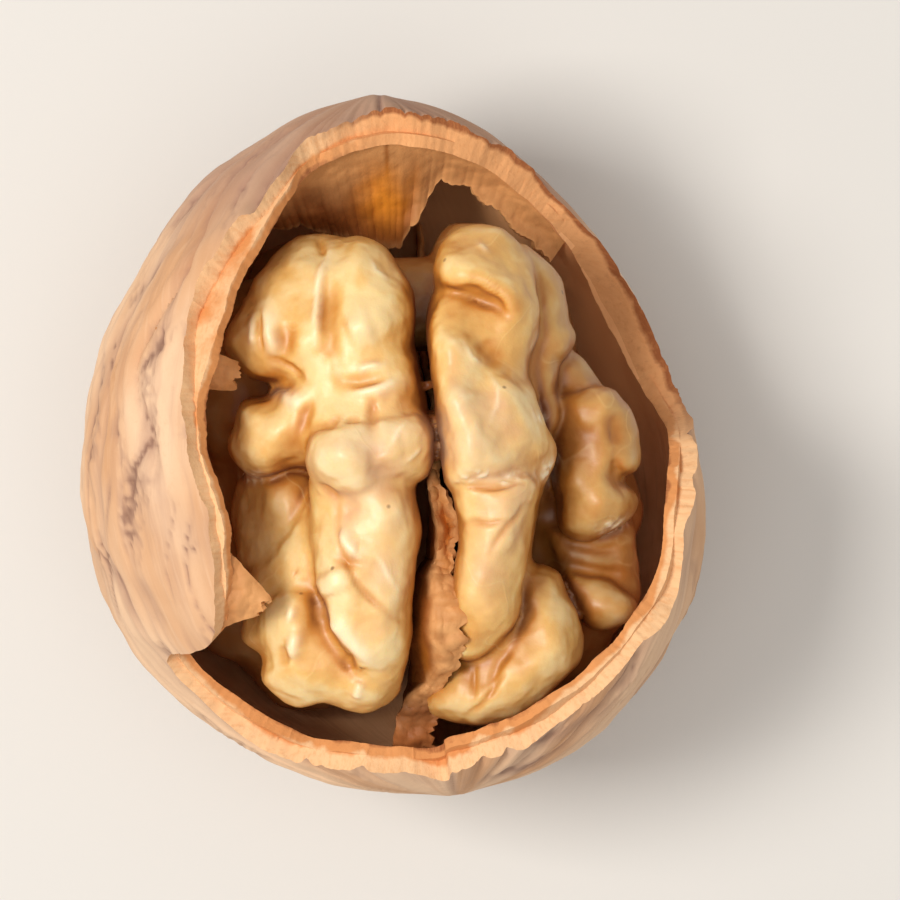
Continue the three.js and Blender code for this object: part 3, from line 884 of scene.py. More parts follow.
@dataclass(frozen=True)
class Mass:
    """One swelling part of the kernel: folds that flow into each other.

    Attributes:
        name: what the part is.
        heart: a point inside it that sees all of its surface.
        soft: how widely its folds flow into each other.
        folds: (x, y, z, radius, x, y, z, radius) for each fold.
    """

    name: str
    heart: tuple[float, float, float]
    soft: float
    folds: tuple[tuple[float, ...], ...]

    def distance(self, points: Points) -> Values:
        """How far points lie outside the part."""
        parts = [Fold(fold[0:3], fold[3], fold[4:7], fold[7]).distance(points) for fold in self.folds]
        return reduce(lambda total, away: blend(total, away, self.soft), parts)


def blend(a: Values, b: Values, soft: float) -> Values:
    """The lesser of two distances, eased where they are alike."""
    return np.minimum(a, b) - np.maximum(soft - np.abs(a - b), 0) ** 2 / (4 * soft)


class SeenMap:
    """Values over the nut's centre plane as the camera sees it, read smoothly at any place.

    Attributes:
        low: the map's lower left corner, in millimetres.
        size: how many places it has each way.
        step: how far apart they are, in millimetres.
    """

    low = np.array([-14.0, -18.0])
    size = (312, 336)
    step = 0.1

    @classmethod
    def places(cls) -> Points:
        """The map's places, one to a row."""
        across, along = np.meshgrid(np.arange(cls.size[0]), np.arange(cls.size[1]), indexing="ij")
        return cls.low + cls.step * np.column_stack([across.ravel(), along.ravel()])

    def __init__(self, values: Values, softness: float) -> None:
        """Keeps values, blurred.

        Args:
            values: one for each of the map's places.
            softness: how widely they are blurred, in millimetres.
        """
        reach = int(math.ceil(2.5 * softness / self.step))
        share = np.exp(-0.5 * (np.arange(-reach, reach + 1) * self.step / softness) ** 2)
        share /= share.sum()
        grid = values.reshape(self.size)
        for axis in (0, 1):
            padding = [(0, 0), (0, 0)]
            padding[axis] = (reach, reach)
            padded = np.pad(grid, padding, mode="edge")
            long = grid.shape[axis]
            windows = (np.take(padded, range(at, at + long), axis=axis) for at in range(len(share)))
            grid = sum(part * window for part, window in zip(share, windows))
        self.grid = grid

    def at(self, seen: Points) -> Values:
        """Reads the map.

        Args:
            seen: places on the nut's centre plane as seen.

        Returns:
            The value at each.
        """
        spot = np.clip((seen - self.low) / self.step, 0, np.array(self.size) - 1.001)
        cell = spot.astype(int)
        x, y = (spot - cell).T
        i, j = cell.T
        near = self.grid[i, j] * (1 - x) + self.grid[i + 1, j] * x
        far = self.grid[i, j + 1] * (1 - x) + self.grid[i + 1, j + 1] * x
        return near * (1 - y) + far * y


def outside_loop(points: Points, loop: Points) -> Values:
    """How far points lie outside a closed loop; inside it, less than 0."""
    nearest = np.full(len(points), np.inf)
    inside = np.zeros(len(points), bool)
    for start, end in zip(loop, np.roll(loop, -1, axis=0)):
        along = end - start
        offset = points - start
        share = np.clip(offset @ along / max(along @ along, 1e-12), 0, 1)
        away = offset - share[:, None] * along
        nearest = np.minimum(nearest, np.einsum("ij,ij->i", away, away))
        crossed = (start[1] > points[:, 1]) != (end[1] > points[:, 1])
        inside ^= crossed & (offset[:, 0] < offset[:, 1] * along[0] / (along[1] if along[1] else 1e-12))
    return np.sqrt(nearest) * np.where(inside, -1, 1)


@dataclass
class Lobe:
    """A lobe of the kernel that shows from above: a rounded body under its outline.

    Attributes:
        name: what the lobe is.
        outline: its outline, in the photograph's pixels.
        heights: (pixel across, pixel down, height in millimetres over the nut's centre) of spots on it.
        edge: how far in from the outline its edge is rounded.
        fall: how deep its rounded edge falls.
        root: the height that it reaches down to.
        taper: how much narrower it gets for each millimetre further down.
        inset: how far inside its outline it is blocked out.
        swollen: how far its side stands out past its outline.
        side_softness: how widely its outline is smoothed.
        top_softness: how widely its top is.
        spot_size: how far a spot's height holds round it.
        spot_power: how fast it gives way to the next.
    """

    name: str
    outline: Pixels
    heights: tuple[tuple[float, float, float], ...]
    edge: float
    fall: float
    root: float = 1.0
    taper: float = 0.2
    inset: float = 0.55
    swollen: float = 0.15
    side_softness: float = 0.28
    top_softness: float = 0.5
    spot_size: float = 0.4
    spot_power: float = 1.6

    def __post_init__(self) -> None:
        """Maps the lobe's outline and top."""
        places = SeenMap.places()
        x, y = VIEW.seen(self.outline).T
        anticlockwise = np.sum(x * np.roll(y, -1) - y * np.roll(x, -1)) > 0
        stops = self.outline if anticlockwise else self.outline[::-1]
        self.loop = smooth_loop(VIEW.seen(stops), 4)
        self.side = SeenMap(outside_loop(places, self.loop), self.side_softness)
        spots = VIEW.seen(self.heights)
        apart = np.linalg.norm(places[:, None] - spots[None], axis=2)
        share = 1 / (apart**2 + self.spot_size) ** self.spot_power
        level = share @ np.array(self.heights)[:, 2] / share.sum(axis=1)
        self.top = SeenMap(level, self.top_softness)

    def distance(self, points: Points, seen: Points) -> Values:
        """How far points lie outside the lobe, roughly.

        Args:
            points: places in millimetres about the nut's centre.
            seen: where the camera sees them.

        Returns:
            The distance of each; inside the lobe, less than 0.
        """
        under = self.top.at(seen) - self.fall - points[:, 2]
        out = self.edge - self.swollen + self.side.at(seen) + self.taper * np.maximum(under, 0)
        rounded = np.hypot(np.maximum(out, 0) / self.edge, np.maximum(-under, 0) / self.fall)
        return np.maximum((rounded - 1) * min(self.edge, self.fall), self.root - points[:, 2])

    def block(self) -> bpy.types.Object:
        """A plain upright block well inside the lobe, to be swelled out to it later."""
        bm = bmesh.new()
        around = len(self.loop)
        bmesh.ops.create_circle(bm, cap_ends=True, segments=around, radius=1)
        raised = bmesh.ops.extrude_face_region(bm, geom=bm.faces[:])["geom"]
        verts = [g for g in raised if isinstance(g, bmesh.types.BMVert)]
        bmesh.ops.translate(bm, verts=verts, vec=(0, 0, 1))
        bmesh.ops.recalc_face_normals(bm, faces=bm.faces)
        made = mesh_object(self.name, bm)
        plan = coordinates(made.data)
        turn = np.rint(np.arctan2(plan[:, 1], plan[:, 0]) / math.tau * around).astype(int) % around
        slopes = [self.side.at(self.loop + way) - self.side.at(self.loop - way) for way in np.eye(2) * 0.2]
        outward = np.column_stack(slopes)
        outward /= np.maximum(np.linalg.norm(outward, axis=1, keepdims=True), 0.05)
        inner = self.loop - outward * self.inset
        height = np.where(plan[:, 2] > 0.5, self.top.at(inner)[turn] - 0.5 * self.fall, self.root + 0.3)
        move_to(made.data, VIEW.at_height(inner[turn], height))
        return made


KERNEL_CORES = (
    Mass("left core", (-3.2, 3.6, 4.0), 0.8, (
        (-3.4, 6.6, 3.6, 4.0, -3.0, 1.6, 5.4, 3.4), (-2.0, -5.0, 5.5, 2.8, -2.2, -9.5, 5.0, 3.0),
        (-5.6, -9.0, 2.4, 2.6, -4.0, -11.4, 2.0, 3.0),
    )),
    Mass("left flank", (-6.0, -3.4, 0.5), 0.9, (
        (-5.8, -4.2, 0.6, 3.4, -5.2, -6.2, 3.4, 2.3), (-8.4, 2.2, -1.0, 3.2, -7.2, 6.2, -0.2, 3.4),
        (-9.6, -4.2, -3.4, 4.0, -8.0, -9.2, -3.0, 3.5), (-5.2, 2.0, -1.0, 4.0, -4.4, -7.0, 0.0, 4.2),
    )),
    Mass("left back", (-5.0, -0.5, -5.5), 0.9, (
        (-4.6, 7.8, -5.4, 4.2, -3.8, 4.0, -8.8, 4.2), (-4.2, -0.6, -9.2, 4.2, -4.0, -6.2, -9.0, 4.2),
        (-9.4, 3.0, -6.4, 3.4, -8.6, -1.8, -7.0, 3.6), (-8.4, -7.0, -5.6, 3.6, -5.0, -11.4, -4.4, 3.8),
    )),
    Mass("right core", (6.2, 1.6, 4.6), 0.7, (
        (5.4, 7.6, 3.2, 2.8, 6.2, 4.4, 3.4, 2.8), (5.6, 4.6, 6.0, 2.2, 6.0, -1.4, 7.0, 2.4),
        (5.8, -2.4, 6.0, 2.4, 5.8, -8.2, 5.2, 2.0), (6.4, 6.0, -0.6, 3.3, 6.8, -1.0, 0.2, 3.7),
    )),
    Mass("far core", (10.0, -3.0, -0.6), 0.7, (
        (10.4, -0.4, -1.4, 2.8, 10.8, -3.6, -0.8, 3.4), (10.6, -5.2, 0.0, 2.6, 10.2, -7.0, -0.6, 2.7),
        (9.6, -5.0, -2.4, 4.2, 8.6, -10.0, -1.8, 4.0), (7.2, -10.6, 2.4, 2.4, 5.2, -12.4, 2.2, 2.4),
    )),
    Mass("right back", (8.0, -0.5, -5.5), 0.9, (
        (6.6, 6.2, -5.4, 3.7, 6.8, 3.6, -8.6, 4.0), (7.4, -0.6, -9.0, 4.0, 7.4, -6.2, -8.8, 4.0),
        (9.2, 0.6, -7.0, 3.2, 10.2, -2.8, -6.6, 3.5), (10.4, -7.4, -5.2, 3.6, 7.6, -11.4, -3.8, 3.8),
    )),
    Mass("bridge between the halves", (2.0, 7.6, 0.2), 0.6, (
        (-2.0, 8.0, 0.8, 2.6, 5.6, 8.2, 0.6, 2.8), (4.2, 11.0, 0.2, 1.9, 4.6, 8.3, 0.0, 2.8),
    )),
)

KERNEL_LOBES = (
    Lobe("left crown", (
        (343, 239), (357, 237), (372, 243), (388, 254), (400, 270), (408, 286), (412, 309), (412, 329),
        (410, 344), (415, 357), (418, 377), (422, 396), (424, 411), (420, 440), (400, 460), (360, 470),
        (320, 468), (304, 467), (293, 466), (281, 470), (268, 477), (252, 477), (240, 470), (231, 457),
        (229, 448), (233, 436), (239, 425), (240, 412), (247, 404), (258, 401), (268, 399), (276, 391),
        (284, 383), (274, 380), (256, 379), (245, 373), (236, 362), (231, 352), (229, 341), (233, 325),
        (241, 309), (249, 295), (259, 277), (272, 262), (288, 248), (302, 238), (315, 235), (331, 235),
    ), (
        (262, 335, 8.8), (300, 275, 8.6), (318, 246, 7.6), (318, 340, 10.0), (355, 265, 9.2),
        (380, 330, 10.6), (350, 345, 10.4), (335, 385, 10.3), (385, 395, 11.2), (345, 430, 11.6),
        (400, 430, 11.4), (285, 425, 9.8), (255, 415, 9.2), (246, 452, 9.0), (290, 445, 9.4),
        (290, 372, 9.2),
    ), 3.0, 3.4),
    Lobe("left belly", (
        (320, 484), (313, 474), (309, 458), (311, 442), (320, 431), (335, 424), (352, 420), (372, 417),
        (392, 414), (408, 412), (420, 413), (429, 423), (433, 441), (432, 458), (425, 473), (413, 481),
        (398, 487), (384, 493), (372, 498), (359, 500), (345, 497), (331, 491),
    ), ((340, 456, 14.0), (380, 452, 13.3), (412, 445, 13.0)), 2.9, 3.6, 5.0),
    Lobe("left long fold", (
        (316, 474), (312, 515), (311, 537), (314, 559), (321, 586), (326, 606), (328, 624), (334, 638),
        (345, 652), (356, 668), (372, 682), (392, 686), (402, 675), (405, 665), (408, 649), (411, 630),
        (410, 614), (412, 590), (414, 566), (414, 542), (416, 524), (415, 510), (411, 489), (405, 472),
    ), (
        (385, 515, 12.1), (330, 515, 11.0), (345, 540, 11.8), (340, 585, 12.2), (395, 590, 11.8),
        (385, 640, 11.4), (360, 640, 11.6), (392, 668, 10.2),
    ), 2.1, 2.8, 3.0),
    Lobe("left foot", (
        (300, 584), (326, 580), (345, 592), (358, 618), (372, 645), (390, 664), (398, 676), (399, 684),
        (392, 697), (380, 706), (364, 711), (348, 708), (335, 704), (324, 700), (314, 705), (300, 708),
        (287, 705), (276, 695), (266, 685), (262, 676), (265, 664), (262, 653), (252, 647), (245, 642),
        (244, 633), (249, 621), (258, 606), (272, 592), (285, 584),
    ), (
        (298, 612, 9.6), (292, 640, 9.6), (270, 655, 8.2), (250, 634, 6.8), (300, 680, 9.2),
        (362, 692, 9.4), (335, 672, 9.2), (325, 645, 9.2), (385, 690, 8.8), (345, 630, 9.0),
        (372, 670, 9.0),
    ), 2.0, 2.6, 2.0),
    Lobe("left hollow", (
        (238, 486), (250, 470), (275, 462), (300, 462), (320, 478), (330, 500), (322, 530), (308, 556),
        (286, 578), (262, 584), (246, 570), (238, 548), (234, 520),
    ), ((275, 500, 7.2), (262, 535, 6.4), (245, 510, 5.6), (305, 520, 7.4), (285, 555, 7.0)), 2.4, 2.6, 1.0),
    Lobe("left neck", (
        (314, 490), (300, 514), (288, 534), (272, 552), (258, 570), (248, 590), (250, 606), (275, 614),
        (300, 606), (336, 600), (342, 575), (336, 530),
    ), ((308, 530, 8.6), (285, 575, 8.0), (262, 590, 7.2), (305, 585, 8.8), (325, 560, 9.2)), 1.8, 2.2, 1.0),
    Lobe("right crown", (
        (437, 286), (437, 269), (440, 255), (447, 242), (458, 233), (473, 229), (487, 228), (500, 231),
        (509, 237), (518, 248), (526, 261), (533, 277), (536, 293), (538, 310), (537, 328), (534, 346),
        (529, 361), (520, 371), (508, 369), (496, 362), (486, 350), (480, 336), (482, 320), (488, 308),
        (478, 299), (455, 293),
    ), (
        (470, 245, 8.2), (462, 272, 10.0), (490, 280, 10.4), (518, 300, 9.8), (505, 335, 9.4),
        (520, 345, 8.4), (505, 255, 8.0),
    ), 2.0, 2.8),
    Lobe("right ridge", (
        (437, 290), (433, 304), (430, 324), (429, 342), (431, 368), (434, 390), (437, 415), (442, 442),
        (446, 470), (452, 486), (475, 489), (500, 487), (522, 486), (537, 486), (546, 474), (552, 460),
        (553, 448), (547, 437), (541, 424), (536, 411), (533, 397), (529, 380), (524, 371), (527, 350),
        (528, 325), (522, 296), (505, 274), (480, 264), (455, 268), (441, 280),
    ), (
        (455, 308, 9.4), (450, 350, 11.8), (455, 400, 13.0), (465, 445, 13.2), (505, 395, 12.0),
        (520, 435, 11.6), (538, 462, 10.2), (490, 472, 12.3), (482, 335, 9.6), (478, 360, 10.9),
        (525, 385, 10.8), (505, 330, 8.8), (480, 285, 7.2), (515, 355, 9.0), (496, 362, 9.8),
    ), 2.1, 3.0, 3.0),
    Lobe("right stem", (
        (452, 474), (455, 500), (459, 522), (459, 548), (457, 573), (456, 600), (454, 630), (453, 645),
        (460, 655), (477, 656), (492, 647), (506, 636), (514, 621), (517, 605), (517, 590), (522, 573),
        (527, 556), (530, 539), (530, 527), (533, 508), (538, 486), (530, 474), (500, 470), (470, 470),
    ), ((490, 497, 12.0), (485, 535, 11.7), (482, 575, 11.4), (500, 600, 10.7), (480, 640, 9.8)), 2.0, 2.8, 3.0),
    Lobe("right flank", (
        (516, 244), (534, 256), (547, 266), (558, 279), (564, 293), (566, 307), (566, 322), (573, 335),
        (573, 345), (568, 355), (558, 364), (556, 379), (559, 397), (565, 408), (564, 419), (558, 430),
        (549, 440), (538, 436), (530, 415), (524, 390), (516, 370), (520, 345), (524, 310), (518, 275),
    ), ((545, 285, 6.4), (550, 335, 6.2), (540, 375, 6.6), (550, 412, 6.2)), 1.7, 2.4, 0.0),
    Lobe("far step", (
        (562, 354), (578, 361), (590, 374), (602, 390), (592, 406), (570, 408), (556, 392), (552, 370),
    ), ((575, 380, 4.4),), 1.4, 1.8, 0.0),
    Lobe("far lobe", (
        (560, 402), (575, 391), (593, 387), (605, 385), (616, 389), (625, 401), (631, 415), (635, 428),
        (637, 444), (639, 461), (635, 472), (624, 477), (617, 478), (620, 484), (629, 490), (635, 499),
        (636, 508), (630, 518), (618, 526), (604, 532), (590, 537), (574, 534), (562, 526), (556, 500),
        (553, 460), (555, 425),
    ), (
        (600, 408, 6.2), (595, 455, 6.4), (629, 440, 5.4), (600, 503, 7.0), (627, 505, 5.8),
        (570, 450, 5.4), (572, 500, 5.8),
    ), 1.7, 2.4, 0.0),
    Lobe("far layers", (
        (548, 528), (570, 528), (600, 528), (630, 520), (635, 545), (637, 570), (634, 600), (620, 625),
        (600, 645), (583, 650), (575, 610), (560, 575),
    ), ((590, 550, 3.6), (620, 560, 2.8), (600, 600, 3.0), (590, 640, 0.6)), 1.2, 1.6, -2.0),
    Lobe("far bulge", (
        (566, 572), (584, 573), (602, 580), (618, 589), (630, 599), (634, 613), (626, 622), (609, 626),
        (592, 624), (582, 616), (574, 600),
    ), ((602, 602, 5.0), (580, 585, 4.4)), 1.5, 2.0, -1.0),
    Lobe("low fold", (
        (536, 567), (551, 569), (560, 574), (563, 584), (568, 597), (575, 616), (579, 633), (579, 649),
        (575, 661), (565, 675), (551, 689), (537, 701), (523, 712), (506, 720), (489, 724), (468, 724),
        (452, 719), (437, 714), (427, 706), (423, 696), (429, 686), (440, 672), (452, 652), (468, 630),
        (484, 610), (500, 590), (518, 572),
    ), (
        (545, 585, 7.4), (552, 635, 8.2), (530, 668, 8.2), (490, 697, 7.6), (472, 690, 7.2),
        (440, 700, 7.0), (505, 650, 7.4), (480, 655, 7.0), (510, 615, 7.0),
    ), 2.2, 2.7, 1.0),
)

KERNEL_LINES = (
    (Mark.FINE_RIDGE, ((331, 245), (325, 264), (320, 279), (317, 300), (316, 321), (316, 346))),
    (Mark.HAIR_CREASE, ((317, 237), (322, 252), (326, 259))),
    (Mark.DENT, ((327, 270), (327, 296), (328, 325), (331, 346), (334, 368))),
    (Mark.SWELL, ((345, 332), (374, 322))),
    (Mark.VEIN, ((372, 261), (375, 270), (388, 279))),
    (Mark.FINE_RIDGE, ((352, 371), (368, 368), (384, 366))),
    (Mark.CREASE, ((343, 382), (359, 383), (377, 380), (390, 376))),
    (Mark.RIDGE, ((348, 393), (368, 391), (386, 386), (402, 382))),
    (Mark.FINE_RIDGE, ((254, 316), (252, 332), (253, 348))),
    (Mark.RIDGE, ((268, 304), (270, 332), (276, 362))),
    (Mark.HAIR_CREASE, ((261, 310), (260, 330), (262, 350))),
    (Mark.DENT, ((287, 318), (283, 342), (276, 364))),
    (Mark.HAIR_CREASE, ((270, 357), (291, 366), (299, 373), (311, 384))),
    (Mark.RIDGE, ((279, 395), (295, 402), (307, 393))),
    (Mark.CREASE, ((316, 396), (304, 416), (299, 440))),
    (Mark.HAIR_CREASE, ((313, 429), (331, 425), (343, 414))),
    (Mark.HAIR_CREASE, ((345, 421), (363, 421))),
    (Mark.CREASE, ((370, 396), (372, 421), (374, 434))),
    (Mark.DENT, ((374, 434), (375, 448), (379, 471), (384, 488))),
    (Mark.VEIN, ((406, 421), (390, 446))),
    (Mark.VEIN, ((424, 446), (406, 466))),
    (Mark.TORN, ((240, 471), (250, 477), (266, 477))),
    (Mark.HAIR_CREASE, (
        (338, 505), (337, 523), (340, 543), (346, 562), (356, 582), (375, 604), (392, 617), (403, 621),
    )),
    (Mark.RIDGE, ((339, 523), (346, 543), (357, 556), (363, 550))),
    (Mark.CREASE, ((332, 554), (348, 564), (363, 562))),
    (Mark.VEIN, ((375, 553), (387, 569), (397, 591))),
    (Mark.SWELL, ((326, 570), (338, 596))),
    (Mark.RIDGE, ((324, 606), (335, 621), (356, 645), (380, 666))),
    (Mark.DENT, ((316, 585), (322, 613), (330, 634))),
    (Mark.FINE_RIDGE, ((295, 606), (289, 623))),
    (Mark.RIDGE, ((297, 628), (290, 661))),
    (Mark.CREASE, ((284, 644), (284, 669))),
    (Mark.CREASE, ((346, 653), (352, 671))),
    (Mark.PIT, ((362, 669), (363, 670))),
    (Mark.PIT, ((296, 571), (298, 572))),
    (Mark.FINE_RIDGE, ((363, 680), (356, 700))),
    (Mark.HAIR_CREASE, ((316, 484), (340, 499))),
    (Mark.CREASE, ((451, 289), (467, 289), (480, 293), (493, 301), (505, 313), (511, 318))),
    (Mark.DENT, ((478, 338), (490, 352), (505, 365))),
    (Mark.VEIN, ((464, 342), (471, 357), (484, 366))),
    (Mark.VEIN, ((489, 373), (498, 388), (496, 404), (491, 422))),
    (Mark.TORN, ((536, 409), (543, 424))),
    (Mark.TORN, ((552, 451), (547, 470), (537, 486))),
    (Mark.TORN, ((455, 478), (484, 474), (505, 480), (532, 474))),
    (Mark.HAIR_CREASE, ((458, 485), (489, 487), (523, 483))),
    (Mark.HAIR_CREASE, ((466, 523), (489, 524), (506, 521))),
    (Mark.HAIR_CREASE, ((530, 504), (506, 527), (489, 554))),
    (Mark.VEIN, ((478, 242), (489, 251))),
    (Mark.VEIN, ((538, 328), (529, 353))),
    (Mark.CREASE, ((511, 640), (500, 662), (488, 690))),
    (Mark.HAIR_CREASE, ((504, 676), (482, 704), (465, 719))),
    (Mark.HAIR_CREASE, ((476, 664), (473, 680), (474, 700))),
    (Mark.DENT, ((613, 408), (618, 448))),
    (Mark.CREASE, ((617, 456), (618, 480))),
    (Mark.TORN, ((598, 530), (613, 527), (627, 520))),
    (Mark.CREASE, ((556, 541), (600, 549), (634, 545))),
    (Mark.CREASE, ((560, 566), (600, 572), (634, 575))),
)


@dataclass
class Kernel:
    """The seed: two halves of folded lobes, joined by a bridge near the tip.

    Attributes:
        cores: the parts that carry the lobes, down to the hidden back.
        lobes: the lobes that show from above.
        lines: (what it is, pixels that it passes) for each vein, ridge and crease.
        voxel: how finely the parts are fused, in millimetres.
        rough_voxel: how finely they are fused at first.
        stray: how far the whole form wanders from its plain lobes.
        stray_size: how long one swell of that is.
        core_softness: how widely the cores flow into each other.
        crease_softness: how tight the creases between lobes are.
        wall_softness: how widely the form eases off before the shell's wall.
        wrinkles: the skin's unevenness.
        painted_shade_probes: (how far off, how much it counts) of each look for other skin that closes a point
            in, for painted shade in the creases.
        side_shade: how much painted shade a side that faces away from the opening gets.
    """

    cores: tuple[Mass, ...] = KERNEL_CORES
    lobes: tuple[Lobe, ...] = KERNEL_LOBES
    lines: tuple[tuple[Mark, Pixels], ...] = KERNEL_LINES
    voxel: float = 0.31
    rough_voxel: float = 0.4
    stray: float = 0.22
    stray_size: float = 3.6
    core_softness: float = 0.9
    crease_softness: float = 0.45
    wall_softness: float = 0.5
    core_reach: float = 16.0
    wrinkles: Layers = ((61, 0.16, 2.4), (62, 0.08, 1.1), (63, 0.025, 0.5))
    painted_shade_probes: tuple[tuple[float, float], ...] = ((0.5, 0.4), (1.4, 0.35), (3.2, 0.25))
    side_shade: float = 0.3

    def distance(self, points: Points) -> Values:
        """How far points lie outside the kernel, before its fine forms."""
        strayed = points + wander(points, 50, self.stray, self.stray_size, 3)
        seen = VIEW.as_seen(strayed)
        cores = [core.distance(strayed) for core in self.cores]
        total = reduce(lambda near, away: blend(near, away, self.core_softness), cores)
        for lobe in self.lobes:
            total = blend(total, lobe.distance(strayed, seen), self.crease_softness)
        length = np.linalg.norm(points, axis=1)
        room = NUT.reach(points / length[:, None], NUT.wall + NUT.clearance)
        return -blend(-total, room - length, self.wall_softness)

    def swelled(self, core: Mass) -> bpy.types.Object:
        """A ball swelled from a core's heart out to its skin."""
        part = ball(core.name, 5)
        directions = coordinates(part.data)
        reach = np.full(len(directions), self.core_reach)
        for _ in range(30):
            gap = core.distance(np.array(core.heart) + directions * reach[:, None])
            reach = np.maximum(reach - gap * 0.9, 0.3)
        move_to(part.data, np.array(core.heart) + directions * reach[:, None])
        return part

    def fused(self) -> bpy.types.Object:
        """Fuses plain cores and blocks into one closed skin."""
        joined = bmesh.new()
        for part in [self.swelled(core) for core in self.cores] + [lobe.block() for lobe in self.lobes]:
            joined.from_mesh(part.data)
            bpy.data.objects.remove(part)
        made = mesh_object("folded_kernel", joined)
        self.remesh(made, self.rough_voxel)
        for _ in range(3):
            self.draw_in(made.data, 2)
            self.ease(made, 2)
        self.draw_in(made.data, 1)
        self.remesh(made, self.voxel)
        self.ease(made, 2)
        self.draw_in(made.data, 1)
        self.refine_seen(made.data)
        self.ease(made, 1)
        self.draw_in(made.data, 1)
        return made

    def refine_seen(self, mesh: bpy.types.Mesh) -> None:
        """Halves the faces that show through the opening, for the fine lines there."""
        bm = bmesh.new()
        bm.from_mesh(mesh)
        bm.normal_update()
        seen = {vert for vert in bm.verts if vert.co.z > 0.5 and vert.normal.z > 0.3}
        edges = [edge for edge in bm.edges if edge.verts[0] in seen and edge.verts[1] in seen]
        bmesh.ops.subdivide_edges(bm, edges=edges, cuts=1, use_grid_fill=True)
        bm.to_mesh(mesh)
        bm.free()

    def ease(self, made: bpy.types.Object, times: int) -> None:
        """Evens a skin out a little."""
        smooth = made.modifiers.new("ease", "SMOOTH")
        smooth.factor = 0.5
        smooth.iterations = times
        settle(made)

    def remesh(self, made: bpy.types.Object, voxel: float) -> None:
        """Covers a solid with one even skin."""
        fuse = made.modifiers.new("fuse", "REMESH")
        fuse.mode = "VOXEL"
        fuse.voxel_size = voxel
        settle(made)

    def draw_in(self, mesh: bpy.types.Mesh, times: int) -> None:
        """Moves a skin onto the kernel's form, down the slope of its distance."""
        nudge, longest = 0.06, 0.6
        for _ in range(times):
            points = coordinates(mesh)
            away = self.distance(points)
            moved = [self.distance(points + shift) - away for shift in np.eye(3) * nudge]
            slope = np.column_stack(moved) / nudge
            steep = np.maximum(np.einsum("ij,ij->i", slope, slope), 0.15)
            step = slope * (away / steep)[:, None]
            length = np.linalg.norm(step, axis=1)
            held = np.minimum(1, longest / np.maximum(length, 1e-9))
            move_to(mesh, points - step * held[:, None])

    def drawn(self, points: Points) -> tuple[Values, Values]:
        """The veins, ridges and creases drawn on the side that faces up.

        Args:
            points: places on the kernel.

        Returns:
            How far each point is raised, and how pale it is, less than 0 dark: painted highlight along ridges
            and swells, painted shade along creases and dents, the coat's own colour along veins, torn skin and
            pits.
        """
        seen = VIEW.as_seen(points) + wander(points, 58, 0.12, 1.3, 2)
        whole = 0.25 + 0.75 * smooth_step(-0.1, 0.4, Grain(64).at(points, 0.45))
        return draw_lines(seen, self.lines, whole, np.ones(len(points)))

    def build(self) -> bpy.types.Object:
        """Builds the kernel as one closed piece."""
        kernel = self.fused()
        mesh = kernel.data
        points, facing = coordinates(mesh), normals(mesh)
        wrinkles = layered(points, self.wrinkles)
        raised, tone_and_painted_light = self.drawn(points)
        upward = smooth_step(0.0, 0.35, facing[:, 2])
        points = points + facing * (wrinkles + raised * upward)[:, None]
        move_to(mesh, inside_box(points, "kernel"))
        self.dress(kernel, tone_and_painted_light * upward)
        finish_piece(kernel, "kernel")
        return kernel

    def dress(self, kernel: bpy.types.Object, tone_and_painted_light: Values) -> None:
        """Gives the kernel its finish and what it reads.

        Args:
            kernel: the kernel, in millimetres about the nut's centre.
            tone_and_painted_light: how pale the lines make each point, less than 0 dark: painted highlight on
                ridges and swells, painted shade in creases and dents, the coat's own colour in veins, torn skin
                and pits.
        """
        mesh = kernel.data
        points, facing = coordinates(mesh), normals(mesh)
        # Painted shade: sides that face away from the opening, and points closed in by other skin, are marked
        # for darker colour.
        painted_shade = self.side_shade * smooth_step(0.7, 0.1, facing[:, 2])
        for step, share in self.painted_shade_probes:
            painted_shade += share * np.clip(1 - self.distance(points + facing * step) / step, 0, 1)
        remember(mesh, "tone_and_painted_light", tone_and_painted_light)
        # low marks the deeper parts for painted shade; high marks the tops for painted sheen.
        remember(mesh, "low", smooth_step(11.0, -1.0, points[:, 2]))
        remember(mesh, "high", smooth_step(9.5, 13.5, points[:, 2]))
        # The crease attribute carries this painted shade.
        remember(mesh, "crease", painted_shade)
        mesh.materials.clear()
        mesh.materials.append(KernelFinish().material())
        mesh.shade_smooth()


